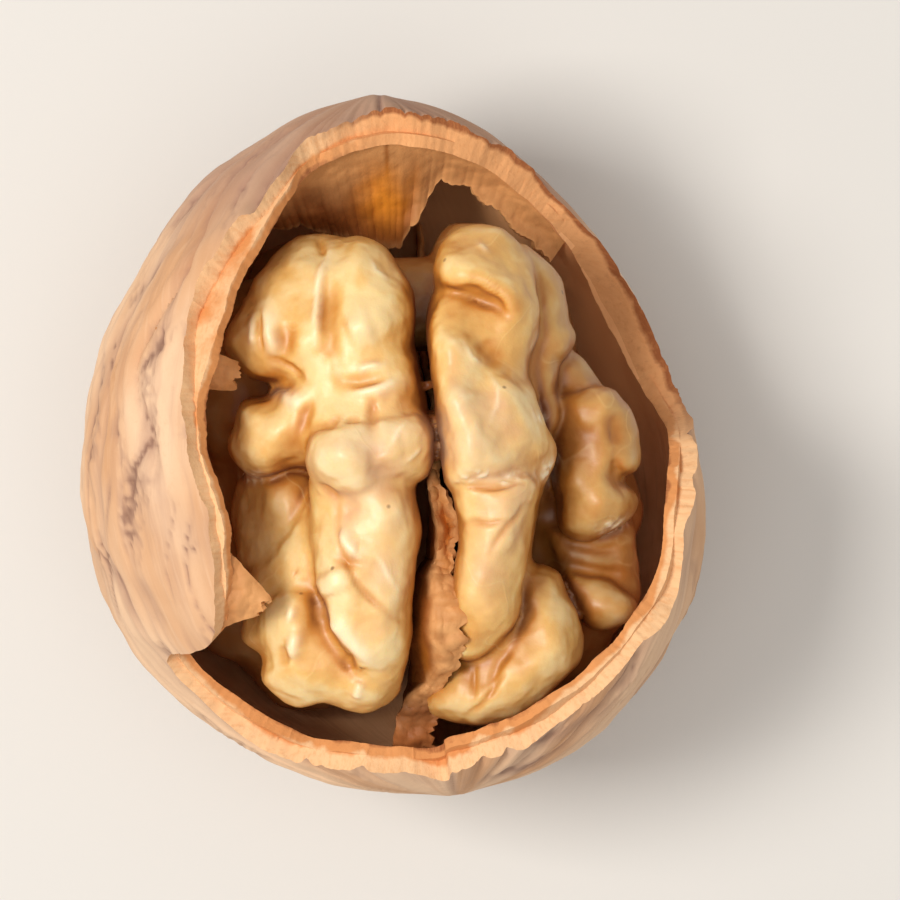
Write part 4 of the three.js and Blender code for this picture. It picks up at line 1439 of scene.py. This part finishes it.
class Recipe:
    """A material's node tree, built one node at a time."""

    def __init__(self, name: str) -> None:
        """Starts a material with an empty tree.

        Args:
            name: the material's name.
        """
        self.made = bpy.data.materials.new(name)
        self.made.use_nodes = True
        self.tree = self.made.node_tree
        self.tree.nodes.clear()

    def node(self, kind: str, inputs: dict | None = None, **settings: object) -> bpy.types.Node:
        """Adds a node.

        Args:
            kind: the node's type, without its ShaderNode prefix.
            inputs: a value, or another node's output, for each named or numbered input.
            settings: the node's own settings.

        Returns:
            The node.
        """
        made = self.tree.nodes.new("ShaderNode" + kind)
        for name, value in settings.items():
            setattr(made, name, value)
        for name, value in (inputs or {}).items():
            if isinstance(value, bpy.types.NodeSocket):
                self.tree.links.new(value, made.inputs[name])
            else:
                made.inputs[name].default_value = value
        return made

    def value(self, name: str) -> bpy.types.NodeSocket:
        """Reads a value that the mesh remembers."""
        return self.node("Attribute", attribute_name=name).outputs["Fac"]

    def vector(self, name: str) -> bpy.types.NodeSocket:
        """Reads a vector that the mesh remembers."""
        return self.node("Attribute", attribute_name=name).outputs["Vector"]

    def object_place(self) -> bpy.types.NodeSocket:
        """The place on the object, in metres."""
        return self.node("TexCoord").outputs["Object"]

    def noise(self, place: bpy.types.NodeSocket, scale: float, detail: float = 4.0, rough: float = 0.55,
              stretch: tuple[float, float, float] = (1, 1, 1)) -> bpy.types.NodeSocket:
        """Noise from 0 to 1.

        Args:
            place: what it is read at.
            scale: how many swells there are to a unit.
            detail: how many finer layers it has.
            rough: how strong those are.
            stretch: how much closer the swells are along each axis.

        Returns:
            The noise's value.
        """
        if stretch != (1, 1, 1):
            place = self.node("Mapping", {"Vector": place, "Scale": stretch}).outputs[0]
        inputs = {"Vector": place, "Scale": scale, "Detail": detail, "Roughness": rough}
        return self.node("TexNoise", inputs).outputs["Fac"]

    def ramp(self, value: bpy.types.NodeSocket, *stops: tuple[float, tuple]) -> bpy.types.NodeSocket:
        """Colours along a value.

        Args:
            value: what the colour follows.
            stops: (value, colour) of each stop.

        Returns:
            The colour.
        """
        made = self.node("ValToRGB", {0: value})
        elements = made.color_ramp.elements
        while len(elements) < len(stops):
            elements.new(0.5)
        for element, (place, colour) in zip(elements, stops):
            element.position = place
            element.color = colour
        return made.outputs["Color"]

    def between(self, value: bpy.types.NodeSocket, low: float, high: float,
                to_low: float = 0.0, to_high: float = 1.0) -> bpy.types.NodeSocket:
        """Stretches a value's range, held at its ends.

        Args:
            value: the value.
            low: where its range begins.
            high: where its range ends.
            to_low: what it becomes at low.
            to_high: what it becomes at high.

        Returns:
            The stretched value.
        """
        inputs = {"Value": value, 1: low, 2: high, 3: to_low, 4: to_high}
        return self.node("MapRange", inputs).outputs[0]

    def mix(self, share: object, a: object, b: object) -> bpy.types.NodeSocket:
        """Mixes two colours."""
        return self.node("Mix", {0: share, 6: a, 7: b}, data_type="RGBA").outputs[2]

    def washes(self, base: object, *layers: tuple) -> bpy.types.NodeSocket:
        """Washes colours over a base, each where its value says.

        Args:
            base: the colour under them all.
            layers: (colour, value, where it starts to show, where it shows most, how much then).

        Returns:
            The colour on top.
        """
        for colour, value, low, high, most in layers:
            base = self.mix(self.between(value, low, high, 0, most), base, colour)
        return base

    def maths(self, operation: str, a: object, b: object = 0.0) -> bpy.types.NodeSocket:
        """Works out one sum."""
        return self.node("Math", {0: a, 1: b}, operation=operation).outputs[0]

    def bumps(self, *layers: tuple) -> bpy.types.NodeSocket:
        """Bumps laid over each other.

        Args:
            layers: (height, strength, distance in metres) of each.

        Returns:
            The bumped normal.
        """
        under = None
        for height, strength, distance in layers:
            inputs = {"Height": height, "Strength": strength, "Distance": distance}
            if under is not None:
                inputs["Normal"] = under
            under = self.node("Bump", inputs).outputs[0]
        return under

    def surface(self, base: object, roughness: float, gloss: float,
                relief: bpy.types.NodeSocket | None = None, more: dict | None = None) -> bpy.types.Material:
        """Ends the tree in a surface.

        Args:
            base: its colour.
            roughness: how dull it is.
            gloss: how strongly it shines.
            relief: its bumped normal.
            more: other inputs of the shader.

        Returns:
            The finished material.
        """
        inputs = {"Base Color": base, "Roughness": roughness, "Specular IOR Level": gloss, **(more or {})}
        if relief is not None:
            inputs["Normal"] = relief
        shader = self.node("BsdfPrincipled", inputs)
        self.node("OutputMaterial", {"Surface": shader.outputs[0]})
        return self.made


@dataclass(frozen=True)
class ShellFinish:
    """The shell's outside: dry, peach to tan, with mauve-brown furrows and rough pits, partly painted shade in
    the furrows, and a painted mauve shade towards the tip.
    """

    pale: tuple = linear(232, 194, 158)
    tan: tuple = linear(208, 158, 116)
    mauve: tuple = linear(160, 122, 106)
    pit: tuple = linear(122, 86, 70)
    roughness: float = 0.75
    gloss: float = 0.3

    def material(self) -> bpy.types.Material:
        """Makes the finish."""
        recipe = Recipe("walnut_shell")
        grain = recipe.vector("grain")
        furrow = recipe.value("furrow")
        place = recipe.object_place()
        broad = recipe.noise(grain, 2.6, 3, 0.5, (1, 1, 0.5))
        streaks = recipe.noise(grain, 11, 6, 0.6, (1, 1, 0.09))
        threads = recipe.noise(grain, 48, 4, 0.6, (1, 1, 0.10))
        fine = recipe.noise(place, 2600, 4, 0.6)
        base = recipe.ramp(broad, (0.36, self.tan), (0.60, self.pale))
        calm = recipe.value("calm")
        blotches = recipe.noise(place, 260, 5, 0.6)
        streaks = recipe.mix(calm, blotches, streaks)
        threads = recipe.mix(calm, blotches, threads)
        base = recipe.washes(
            base,
            (self.mauve, streaks, 0.50, 0.70, 0.45),
            (self.pale, threads, 0.50, 0.72, 0.35),
            # Furrows, cracks, pits, grooves and seam: the shell's own darker colour, with painted shade in the
            # furrows.
            (self.mauve, furrow, 0.10, 0.80, 0.60),
            (self.pit, furrow, 0.60, 1.00, 0.75),
            (self.tan, fine, 0.55, 0.75, 0.20),
            # Painted shade: mauve towards the tip.
            (self.mauve, recipe.value("tip"), 0.0, 1.0, 0.60),
        )
        relief = recipe.bumps((streaks, 0.5, 0.00016), (threads, 0.4, 0.00006), (fine, 0.3, 0.00004))
        return recipe.surface(base, self.roughness, self.gloss, relief)


@dataclass(frozen=True)
class BrokenFinish:
    """The broken edge: pale sandy wood outside, orange fibres towards the inner layer."""

    sandy: tuple = linear(236, 190, 142)
    orange: tuple = linear(216, 146, 88)
    brown: tuple = linear(158, 94, 54)
    tan: tuple = linear(232, 168, 112)
    roughness: float = 0.8
    gloss: float = 0.25

    def material(self) -> bpy.types.Material:
        """Makes the finish."""
        recipe = Recipe("walnut_broken_edge")
        place = recipe.object_place()
        depth = recipe.value("depth")
        patches = recipe.noise(place, 300, 5, 0.6)
        crumbs = recipe.noise(place, 2200, 5, 0.65)
        fibres = recipe.noise(recipe.vector("grain"), 70, 4, 0.6, (1, 1, 0.8))
        uneven = recipe.maths("ADD", depth, recipe.between(patches, 0.3, 0.7, -0.14, 0.14))
        base = recipe.ramp(
            uneven, (0.0, self.sandy), (0.52, self.sandy), (0.66, self.orange), (0.90, self.orange),
            (1.0, self.brown),
        )
        rim = recipe.ramp(uneven, (0.0, self.brown), (0.10, self.brown), (0.24, self.tan), (1.0, self.tan))
        base = recipe.mix(recipe.value("thin"), base, rim)
        base = recipe.washes(
            base, (self.orange, fibres, 0.48, 0.7, 0.4), (self.brown, crumbs, 0.55, 0.8, 0.35)
        )
        relief = recipe.bumps((patches, 0.5, 0.00016), (crumbs, 0.6, 0.00008))
        return recipe.surface(base, self.roughness, self.gloss, relief)


@dataclass(frozen=True)
class InnerWallFinish:
    """The shell's inner wall: satiny tan to brown with soft fibres, painted paler at the upper right as painted
    light where it lies in shade.
    """

    tan: tuple = linear(244, 184, 134)
    brown: tuple = linear(220, 154, 104)
    dark: tuple = linear(166, 106, 66)
    # Painted light: the paler colour that the upper right of the wall is washed to.
    pale: tuple = linear(255, 190, 130)
    roughness: float = 0.55
    gloss: float = 0.35

    def material(self) -> bpy.types.Material:
        """Makes the finish."""
        recipe = Recipe("walnut_inner_wall")
        grain = recipe.vector("grain")
        place = recipe.object_place()
        clouds = recipe.noise(place, 190, 4, 0.55)
        fibres = recipe.noise(grain, 20, 5, 0.6, (1, 1, 0.2))
        base = recipe.ramp(clouds, (0.34, self.brown), (0.62, self.tan))
        thin = recipe.value("thin")
        # Painted light: the upper right, marked thin, is washed paler.
        base = recipe.washes(base, (self.dark, fibres, 0.54, 0.75, 0.4), (self.pale, thin, 0.0, 1.0, 0.8))
        return recipe.surface(base, self.roughness, self.gloss, recipe.bumps((fibres, 0.4, 0.00010)))


@dataclass(frozen=True)
class KernelFinish:
    """The seed coat: cream where it is open, through honey to orange-brown painted shade in the creases, with
    painted shade lower down and a painted sheen on the tops.
    """

    cream: tuple = linear(244, 212, 148)
    honey: tuple = linear(236, 188, 110)
    amber: tuple = linear(206, 136, 54)
    brown: tuple = linear(128, 68, 24)
    # pale_and_sheen: the painted sheen on the tops, the painted highlight on ridges and swells, and the own pale
    # of veins and torn skin.
    pale_and_sheen: tuple = linear(252, 236, 206)
    speck: tuple = linear(110, 72, 34)
    roughness: float = 0.46
    gloss: float = 0.5

    def material(self) -> bpy.types.Material:
        """Makes the finish."""
        recipe = Recipe("walnut_kernel")
        place = recipe.object_place()
        crease = recipe.value("crease")
        tone_and_painted_light = recipe.value("tone_and_painted_light")
        low = recipe.value("low")
        clouds = recipe.noise(place, 240, 4, 0.55)
        mottle = recipe.noise(place, 900, 5, 0.6)
        fine = recipe.noise(place, 3600, 3, 0.6)
        # painted_shade: the painted shade in creases and on sides facing away, made uneven by clouds and mottle.
        painted_shade = recipe.maths("ADD", crease, recipe.between(clouds, 0.3, 0.7, -0.12, 0.12))
        painted_shade = recipe.maths("ADD", painted_shade, recipe.between(mottle, 0.3, 0.7, -0.05, 0.05))
        # The ramp paints shade: cream where open, through honey and amber to brown where closed in.
        base = recipe.ramp(
            painted_shade, (0.0, self.cream), (0.15, self.honey), (0.48, self.amber), (0.92, self.brown)
        )
        # Painted shade: browner lower down in the nut.
        base = recipe.washes(base, (self.brown, low, 0.0, 1.0, 0.82))
        # Painted sheen: paler towards white on the high tops, uneven with the clouds.
        painted_sheen = recipe.between(clouds, 0.3, 0.65, 0.1, 0.55)
        base = recipe.mix(recipe.maths("MULTIPLY", recipe.value("high"), painted_sheen), base, self.pale_and_sheen)
        # The lines: painted highlight on ridges and swells, painted shade in creases and dents, the coat's own
        # colour in veins, torn skin and pits.
        base = recipe.washes(base, (self.pale_and_sheen, tone_and_painted_light, 0.0, 1.0, 0.7), (self.amber, tone_and_painted_light, 0.0, -1.0, 0.75))
        off_middle = recipe.maths("SUBTRACT", recipe.noise(place, 170, 2, 0.5), 0.5)
        veins = recipe.between(recipe.maths("ABSOLUTE", off_middle), 0.0, 0.010, 0.22, 0)
        veins = recipe.maths("MULTIPLY", veins, recipe.between(clouds, 0.45, 0.6, 0, 1))
        base = recipe.mix(veins, base, self.cream)
        dots = recipe.node("TexVoronoi", {"Vector": place, "Scale": 620.0, "Randomness": 1.0})
        dot = recipe.between(dots.outputs["Distance"], 0.11, 0.05, 0, 0.7)
        drawn_lot = recipe.node("SeparateColor", {0: dots.outputs["Color"]}).outputs[0]
        lone = recipe.between(drawn_lot, 0.86, 0.88, 0, 1)
        base = recipe.mix(recipe.maths("MULTIPLY", dot, lone), base, self.speck)
        relief = recipe.bumps((mottle, 0.4, 0.00010), (veins, 0.5, 0.00008), (fine, 0.2, 0.00002))
        return recipe.surface(base, self.roughness, self.gloss, relief, {
            "Subsurface Weight": 0.2, "Subsurface Radius": (1.0, 0.45, 0.15), "Subsurface Scale": 0.0014,
            "Coat Weight": 0.35, "Coat Roughness": 0.38,
        })


@dataclass(frozen=True)
class PaperFinish:
    """The papery husk of the partition and the lining: tan where torn, amber-brown on its faces."""

    torn: tuple = linear(216, 156, 98)
    face: tuple = linear(168, 98, 46)
    deep: tuple = linear(108, 56, 22)
    amber: tuple = linear(238, 148, 40)
    roughness: float = 0.6
    gloss: float = 0.3

    def material(self) -> bpy.types.Material:
        """Makes the finish."""
        recipe = Recipe("walnut_papery_husk")
        place = recipe.object_place()
        clouds = recipe.noise(place, 330, 5, 0.6)
        fibres = recipe.noise(place, 900, 5, 0.65, (1, 0.25, 1))
        fine = recipe.noise(place, 3000, 4, 0.6)
        base = recipe.ramp(clouds, (0.32, self.deep), (0.62, self.face))
        base = recipe.washes(base, (self.deep, fibres, 0.5, 0.75, 0.35))
        base = recipe.mix(recipe.value("amber"), base, self.amber)
        base = recipe.mix(recipe.value("torn"), base, self.torn)
        base = recipe.washes(base, (self.face, fine, 0.55, 0.8, 0.3))
        relief = recipe.bumps((fibres, 0.6, 0.00014), (fine, 0.4, 0.00006))
        return recipe.surface(base, self.roughness, self.gloss, relief)


def sheet(name: str, across: int, down: int) -> bpy.types.Object:
    """A flat sheet from -0.5 to 0.5 each way, to be bent."""
    bm = bmesh.new()
    bmesh.ops.create_grid(bm, x_segments=across, y_segments=down, size=0.5)
    return mesh_object(name, bm)


def thicken(made: bpy.types.Object, thickness: float) -> None:
    """Gives a bent sheet its thickness, both ways from its middle."""
    step = made.modifiers.new("thickness", "SOLIDIFY")
    step.thickness = thickness
    step.offset = 0
    settle(made)
    made.data.shade_smooth()
    made.data.set_sharp_from_angle(angle=math.radians(50))


@dataclass
class Partition:
    """The papery wall between the kernel's halves, torn along its top and bent over to the right.

    Attributes:
        crest: where its torn top shows and how high it is, from the tip towards the base.
        flap: how wide the part that is bent over is, at each point of the crest.
        lean: how far its left side bellies out, at each point of the crest.
        line: where its foot passes across, by place along the nut.
        thickness: how thick it is.
        flap_share: how much of its depth is the part that is bent over.
        frayed: how unevenly the flap is torn, as a share of its width.
        jagged: how unevenly its top is.
        creases: how it bends to either side.
    """

    crest: tuple[tuple[float, float, float], ...] = (
        (1.5, 12.6, -9.0), (1.6, 5.4, -5.0), (2.1, 3.4, 0.8), (2.4, 1.6, 4.6), (2.5, 0.0, 6.6),
        (2.3, -0.8, 7.8), (2.05, -2.0, 8.4), (2.4, -3.4, 9.0), (2.6, -5.3, 8.9), (2.55, -6.5, 8.6),
        (2.2, -7.4, 8.9), (2.35, -8.8, 9.8), (2.45, -11.0, 9.7), (2.6, -12.5, 8.3), (2.0, -13.5, 6.8),
        (1.1, -14.2, 5.8), (0.3, -15.4, 4.7), (0.1, -17.2, 3.6),
    )
    flap: tuple[float, ...] = (
        0.1, 0.1, 0.1, 0.1, 0.15, 0.3, 0.5, 1.1, 1.0, 0.8, 1.3, 1.75, 1.65, 1.0, 0.9, 1.3, 2.0, 2.3,
    )
    lean: tuple[float, ...] = (0, 0, 0, 0, 0, 0, 0, 0.2, 0.4, 0.5, 0.9, 1.4, 1.5, 1.2, 0.8, 0.4, 0, 0)
    line: tuple[tuple[float, float], ...] = (
        (-20, 1.0), (-13.9, 1.3), (-11.6, 2.1), (-8.8, 2.4), (-5.0, 2.4), (-1.4, 2.8), (0.3, 2.75),
        (3.2, 1.95), (7.2, 1.6), (20, 1.4),
    )
    thickness: float = 0.3
    flap_share: float = 0.22
    frayed: Layers = ((71, 0.35, 1.0), (72, 0.22, 0.3))
    jagged: Layers = ((77, 0.35, 1.6), (78, 0.12, 0.5))
    creases: Layers = ((73, 0.26, 2.0), (74, 0.24, 0.8), (75, 0.09, 0.3))

    def build(self) -> bpy.types.Object:
        """Builds the partition as one piece."""
        made = sheet("torn_partition", 240, 90)
        plan = coordinates(made.data)
        spot = (plan[:, 0] + 0.5) * (len(self.crest) - 1)
        stops = np.arange(len(self.crest))
        across, along, top = (np.interp(spot, stops, values) for values in zip(*self.crest))
        edge_at = np.column_stack([along, along * 0, along * 0])
        width = np.interp(spot, stops, self.flap) * (1 + layered(edge_at, self.frayed))
        top = top + layered(edge_at, self.jagged)
        way = 0.5 - plan[:, 1]
        over = np.clip(1 - way / self.flap_share, 0, 1)
        down = np.clip((way - self.flap_share) / (1 - self.flap_share), 0, 1)
        curl = bump(along + 4.6, 1.7)
        seen = np.column_stack([across + width * over, along])
        height = top - 0.35 * over**2 - curl * 1.3 * np.sin(math.pi * over) - 0.25 * bump(over, 0.12)
        wall_floor = -np.sqrt(np.maximum(1 - (along / 18.3) ** 2, 0)) * (NUT.half_depth - NUT.wall) - 0.2
        height = height + (wall_floor - height) * down**1.2
        place = VIEW.at_height(seen, height)
        lean = np.interp(spot, stops, self.lean)
        foot = read_line(self.line, along)
        place[:, 0] += (foot - place[:, 0]) * down - lean * np.sin(math.pi * np.minimum(down * 1.6, 1))
        ways = np.column_stack([0.4 + down * 0, down * 0, 1 - down])
        place += layered(place, self.creases)[:, None] * ways
        move_to(made.data, place)
        self.dress(made, over, down, curl, place)
        finish_piece(made, "partition")
        return made

    def dress(self, made: bpy.types.Object, over: Values, down: Values, curl: Values,
              place: Points) -> None:
        """Gives the partition its thickness and finish.

        Args:
            made: the partition, still without thickness.
            over: how far over its flap each point lies, 0 to 1.
            down: how far down its wall, 0 to 1.
            curl: how strongly the flap is rolled there.
            place: where the points lie.
        """
        rolled = curl * np.sin(math.pi * over)
        mottled = 0.8 + 0.5 * Grain(79).at(place, 0.7)
        ending = smooth_step(-14.8, -13.6, place[:, 1])
        torn = bump(down, 0.035) * (1 - 0.8 * rolled) * mottled * (0.2 + 0.8 * ending)
        remember(made.data, "torn", np.clip(torn, 0, 1))
        glow = (0.35 * smooth_step(-0.1, 0.5, Grain(76).at(place, 2.5)) + 0.12) * ending
        remember(made.data, "amber", np.clip(glow * bump(down, 0.35) + 0.6 * rolled, 0, 1))
        # Painted shade: darker face and deep colours than the lining and flakes get, for the shade that the
        # partition stands in between the kernel's halves.
        finish = PaperFinish(face=linear(150, 82, 34), deep=linear(92, 44, 14))
        made.data.materials.append(finish.material())
        thicken(made, self.thickness)


@dataclass
class Lining:
    """The torn inner lining under the tip, a sheet that slopes from the wall to a ragged edge.

    Attributes:
        root: the height where it leaves the wall, by angle in degrees from +X.
        reach: how far from the nut's centre its free edge lies, by angle.
        drop: how high its free edge lies, by angle.
        thickness: how thick it is.
        sag: how far it hangs through halfway to its free edge.
        ragged: how unevenly its free edge is torn.
        creases: how it bends up and down.
    """

    root: tuple[tuple[float, float], ...] = (
        (50, -2.6), (69, 0.7), (81, 3.4), (92, 4.9), (107, 5.9), (121, 7.4), (134, 8.0),
    )
    reach: tuple[tuple[float, float], ...] = (
        (50, 13.9), (60, 14.1), (68, 14.8), (75, 15.3), (80, 15.5), (82.5, 14.2), (84, 12.9), (88, 11.4),
        (94, 11.5), (103, 12.2), (108, 12.9), (115, 13.9), (122, 14.6), (134, 15.4),
    )
    drop: tuple[tuple[float, float], ...] = (
        (50, -3.2), (68, -1.0), (80, 0.8), (88, -0.8), (94, -0.8), (108, 0.4), (122, 2.5), (134, 3.5),
    )
    thickness: float = 0.3
    sag: float = 0.5
    ragged: Layers = ((81, 0.35, 1.1), (82, 0.2, 0.35))
    creases: Layers = ((83, 0.28, 2.0), (84, 0.10, 0.7))

    def build(self) -> bpy.types.Object:
        """Builds the lining as one closed piece."""
        made = sheet("torn_lining", 360, 40)
        plan = coordinates(made.data)
        degrees = self.root[0][0] + (self.root[-1][0] - self.root[0][0]) * (plan[:, 0] + 0.5)
        inwards = plan[:, 1] + 0.5
        angle = np.radians(degrees)
        edge_at = np.column_stack([degrees * 0.26, degrees * 0, degrees * 0])
        reach = read_line(self.reach, degrees) + layered(edge_at, self.ragged)
        root_height = read_line(self.root, degrees)
        start = NUT.wall_reach(angle, root_height) + 0.15
        out = start + (reach - start) * inwards
        height = root_height + (read_line(self.drop, degrees) - root_height) * inwards
        height = height - self.sag * np.sin(math.pi * inwards)
        place = np.column_stack([out * np.cos(angle), out * np.sin(angle), height])
        place[:, 2] += layered(place, self.creases)
        move_to(made.data, place)
        self.dress(made, degrees, inwards, place)
        finish_piece(made, "lining")
        return made

    def dress(self, made: bpy.types.Object, degrees: Values, inwards: Values, place: Points) -> None:
        """Gives the lining its thickness and finish.

        Args:
            made: the lining, still without thickness.
            degrees: the angle of each point about the nut's middle.
            inwards: how far each lies from the wall to the free edge, 0 to 1.
            place: where the points lie.
        """
        mottled = 0.25 * Grain(85).at(place, 1.4)
        # Painted shade: paler near the wall, darker towards the free edge where the lining drops into the nut,
        # partly its own colour; from 104 to 128 degrees the paleness fades out, so the left end under the rim
        # stays dark.
        pale = smooth_step(0.75, 0.1, inwards + mottled) * smooth_step(128, 104, degrees)
        right = smooth_step(88, 82, degrees) * 0.85
        torn = np.clip(np.maximum(pale, right) + 0.5 * smooth_step(0.9, 1.0, inwards), 0, 1)
        seam = bump(degrees - 91.3, 0.45) * smooth_step(0.40, 0.25, inwards)
        amber = bump(degrees - 92, 6) * bump(inwards - 0.5, 0.3) * 0.9
        remember(made.data, "torn", torn * (1 - 0.8 * seam) * (1 - amber))
        remember(made.data, "amber", amber)
        made.data.materials.append(PaperFinish().material())
        thicken(made, self.thickness)


@dataclass
class Flake:
    """A loose flake of the lining: a bent scrap with two corners at the wall and two free.

    Attributes:
        name: the flake's node.
        corners: its two corners at the wall, then its two free ones.
        seed: which noise tears it.
        thickness: how thick it is.
        bow: how far its middle bends up.
    """

    name: str
    corners: tuple[tuple[float, float, float], ...]
    seed: int
    thickness: float = 0.3
    bow: float = 0.35

    def build(self) -> bpy.types.Object:
        """Builds the flake as one closed piece."""
        made = sheet(self.name + "_scrap", 70, 70)
        plan = coordinates(made.data)
        side, along = plan[:, 0] + 0.5, plan[:, 1] + 0.5
        root_a, root_b, tip_b, tip_a = (np.array(corner) for corner in self.corners)
        torn_at = np.column_stack([side * 6, side * 0, side * 0])
        ragged = layered(torn_at, ((self.seed, 0.11, 1.5), (self.seed + 1, 0.03, 0.45)))
        along = along * (1 + ragged * along)
        root = root_a + (root_b - root_a) * side[:, None]
        tip = tip_a + (tip_b - tip_a) * side[:, None]
        upright = np.cross(root_b - root_a, tip_a - root_a)
        upright *= math.copysign(1, upright[2]) / np.linalg.norm(upright)
        place = root + (tip - root) * along[:, None]
        rise = self.bow * np.sin(math.pi * side) * (0.4 + along)
        rise += layered(place, ((self.seed + 2, 0.2, 1.1), (self.seed + 3, 0.07, 0.4)))
        place = place + upright * rise[:, None]
        move_to(made.data, place)
        remember(made.data, "torn", 0.45 + 0.5 * smooth_step(0.1, 0.8, along))
        remember(made.data, "amber", np.zeros(len(place)))
        made.data.materials.append(PaperFinish().material())
        thicken(made, self.thickness)
        finish_piece(made, self.name)
        return made


FLAKES = (
    Flake(
        "flake_upper_left",
        ((-13.2, 6.6, 9.2), (-13.2, 3.4, 9.0), (-9.0, 3.2, 7.3), (-8.6, 4.6, 7.6)), 90,
    ),
    Flake(
        "flake_lower_left",
        ((-9.6, -5.2, 11.8), (-9.8, -10.2, 10.4), (-7.4, -9.3, 10.4), (-6.9, -8.3, 10.7)), 100,
    ),
    Flake(
        "flake_bottom",
        ((10.0, -15.0, 4.2), (12.9, -12.4, 4.2), (11.4, -12.3, 5.4), (10.3, -13.2, 5.7)), 110,
    ),
)


@dataclass
class Studio:
    """A plain pale floor, soft light from the left and a camera that looks straight down."""

    sensor: float = 36.0

    def build(self) -> None:
        """Builds the floor, the lights and the camera."""
        self.floor()
        self.camera()
        self.sky()
        centre = Vector(NUT.centre) * METRES_PER_MM
        self.light("key", centre, (-0.22, 0.02, 0.38), 0.15, 1.38, (1.0, 0.96, 0.91))
        self.light("fill", centre, (0.0, -0.05, 0.42), 0.26, 0.32, (1.0, 0.95, 0.90))

    def floor(self) -> None:
        """The plain floor that the nut lies on."""
        bm = bmesh.new()
        bmesh.ops.create_grid(bm, x_segments=1, y_segments=1, size=1.5)
        made = mesh_object("floor", bm)
        recipe = Recipe("pale_floor")
        made.data.materials.append(recipe.surface(linear(220, 218, 214), 0.9, 0.5))

    def camera(self) -> None:
        """The camera, straight above the opening."""
        view = bpy.data.cameras.new("camera")
        view.sensor_width = self.sensor
        view.lens = self.sensor * VIEW.distance / (VIEW.picture * VIEW.mm_per_pixel)
        view.clip_start, view.clip_end = 0.01, 10
        made = bpy.data.objects.new("camera", view)
        place = Vector(NUT.centre) + Vector((*VIEW.aim, VIEW.distance))
        made.location = place * METRES_PER_MM
        bpy.context.scene.collection.objects.link(made)
        bpy.context.scene.camera = made

    def light(self, name: str, centre: Vector, offset: tuple[float, float, float], size: float, power: float,
              colour: tuple[float, float, float]) -> None:
        """One soft square light, turned to the nut."""
        lamp = bpy.data.lights.new(name, "AREA")
        lamp.size, lamp.energy, lamp.color = size, power, colour
        made = bpy.data.objects.new(name, lamp)
        made.location = centre + Vector(offset)
        made.rotation_euler = (-Vector(offset)).to_track_quat("-Z", "Y").to_euler()
        bpy.context.scene.collection.objects.link(made)

    def sky(self) -> None:
        """Even light from all round."""
        world = bpy.data.worlds.new("sky")
        world.use_nodes = True
        shade = world.node_tree.nodes["Background"]
        shade.inputs["Color"].default_value = (1.0, 0.97, 0.94, 1)
        shade.inputs["Strength"].default_value = 0.5
        bpy.context.scene.world = world
        bpy.context.scene.view_settings.view_transform = "Standard"


def main() -> None:
    """Builds the walnut, piece by piece, and the studio round it."""
    logging.basicConfig(level=logging.INFO, format="%(name)s: %(message)s")
    Studio().build()
    Shell().build()
    Kernel().build()
    Partition().build()
    Lining().build()
    for flake in FLAKES:
        flake.build()


if __name__ == "__main__":
    main()
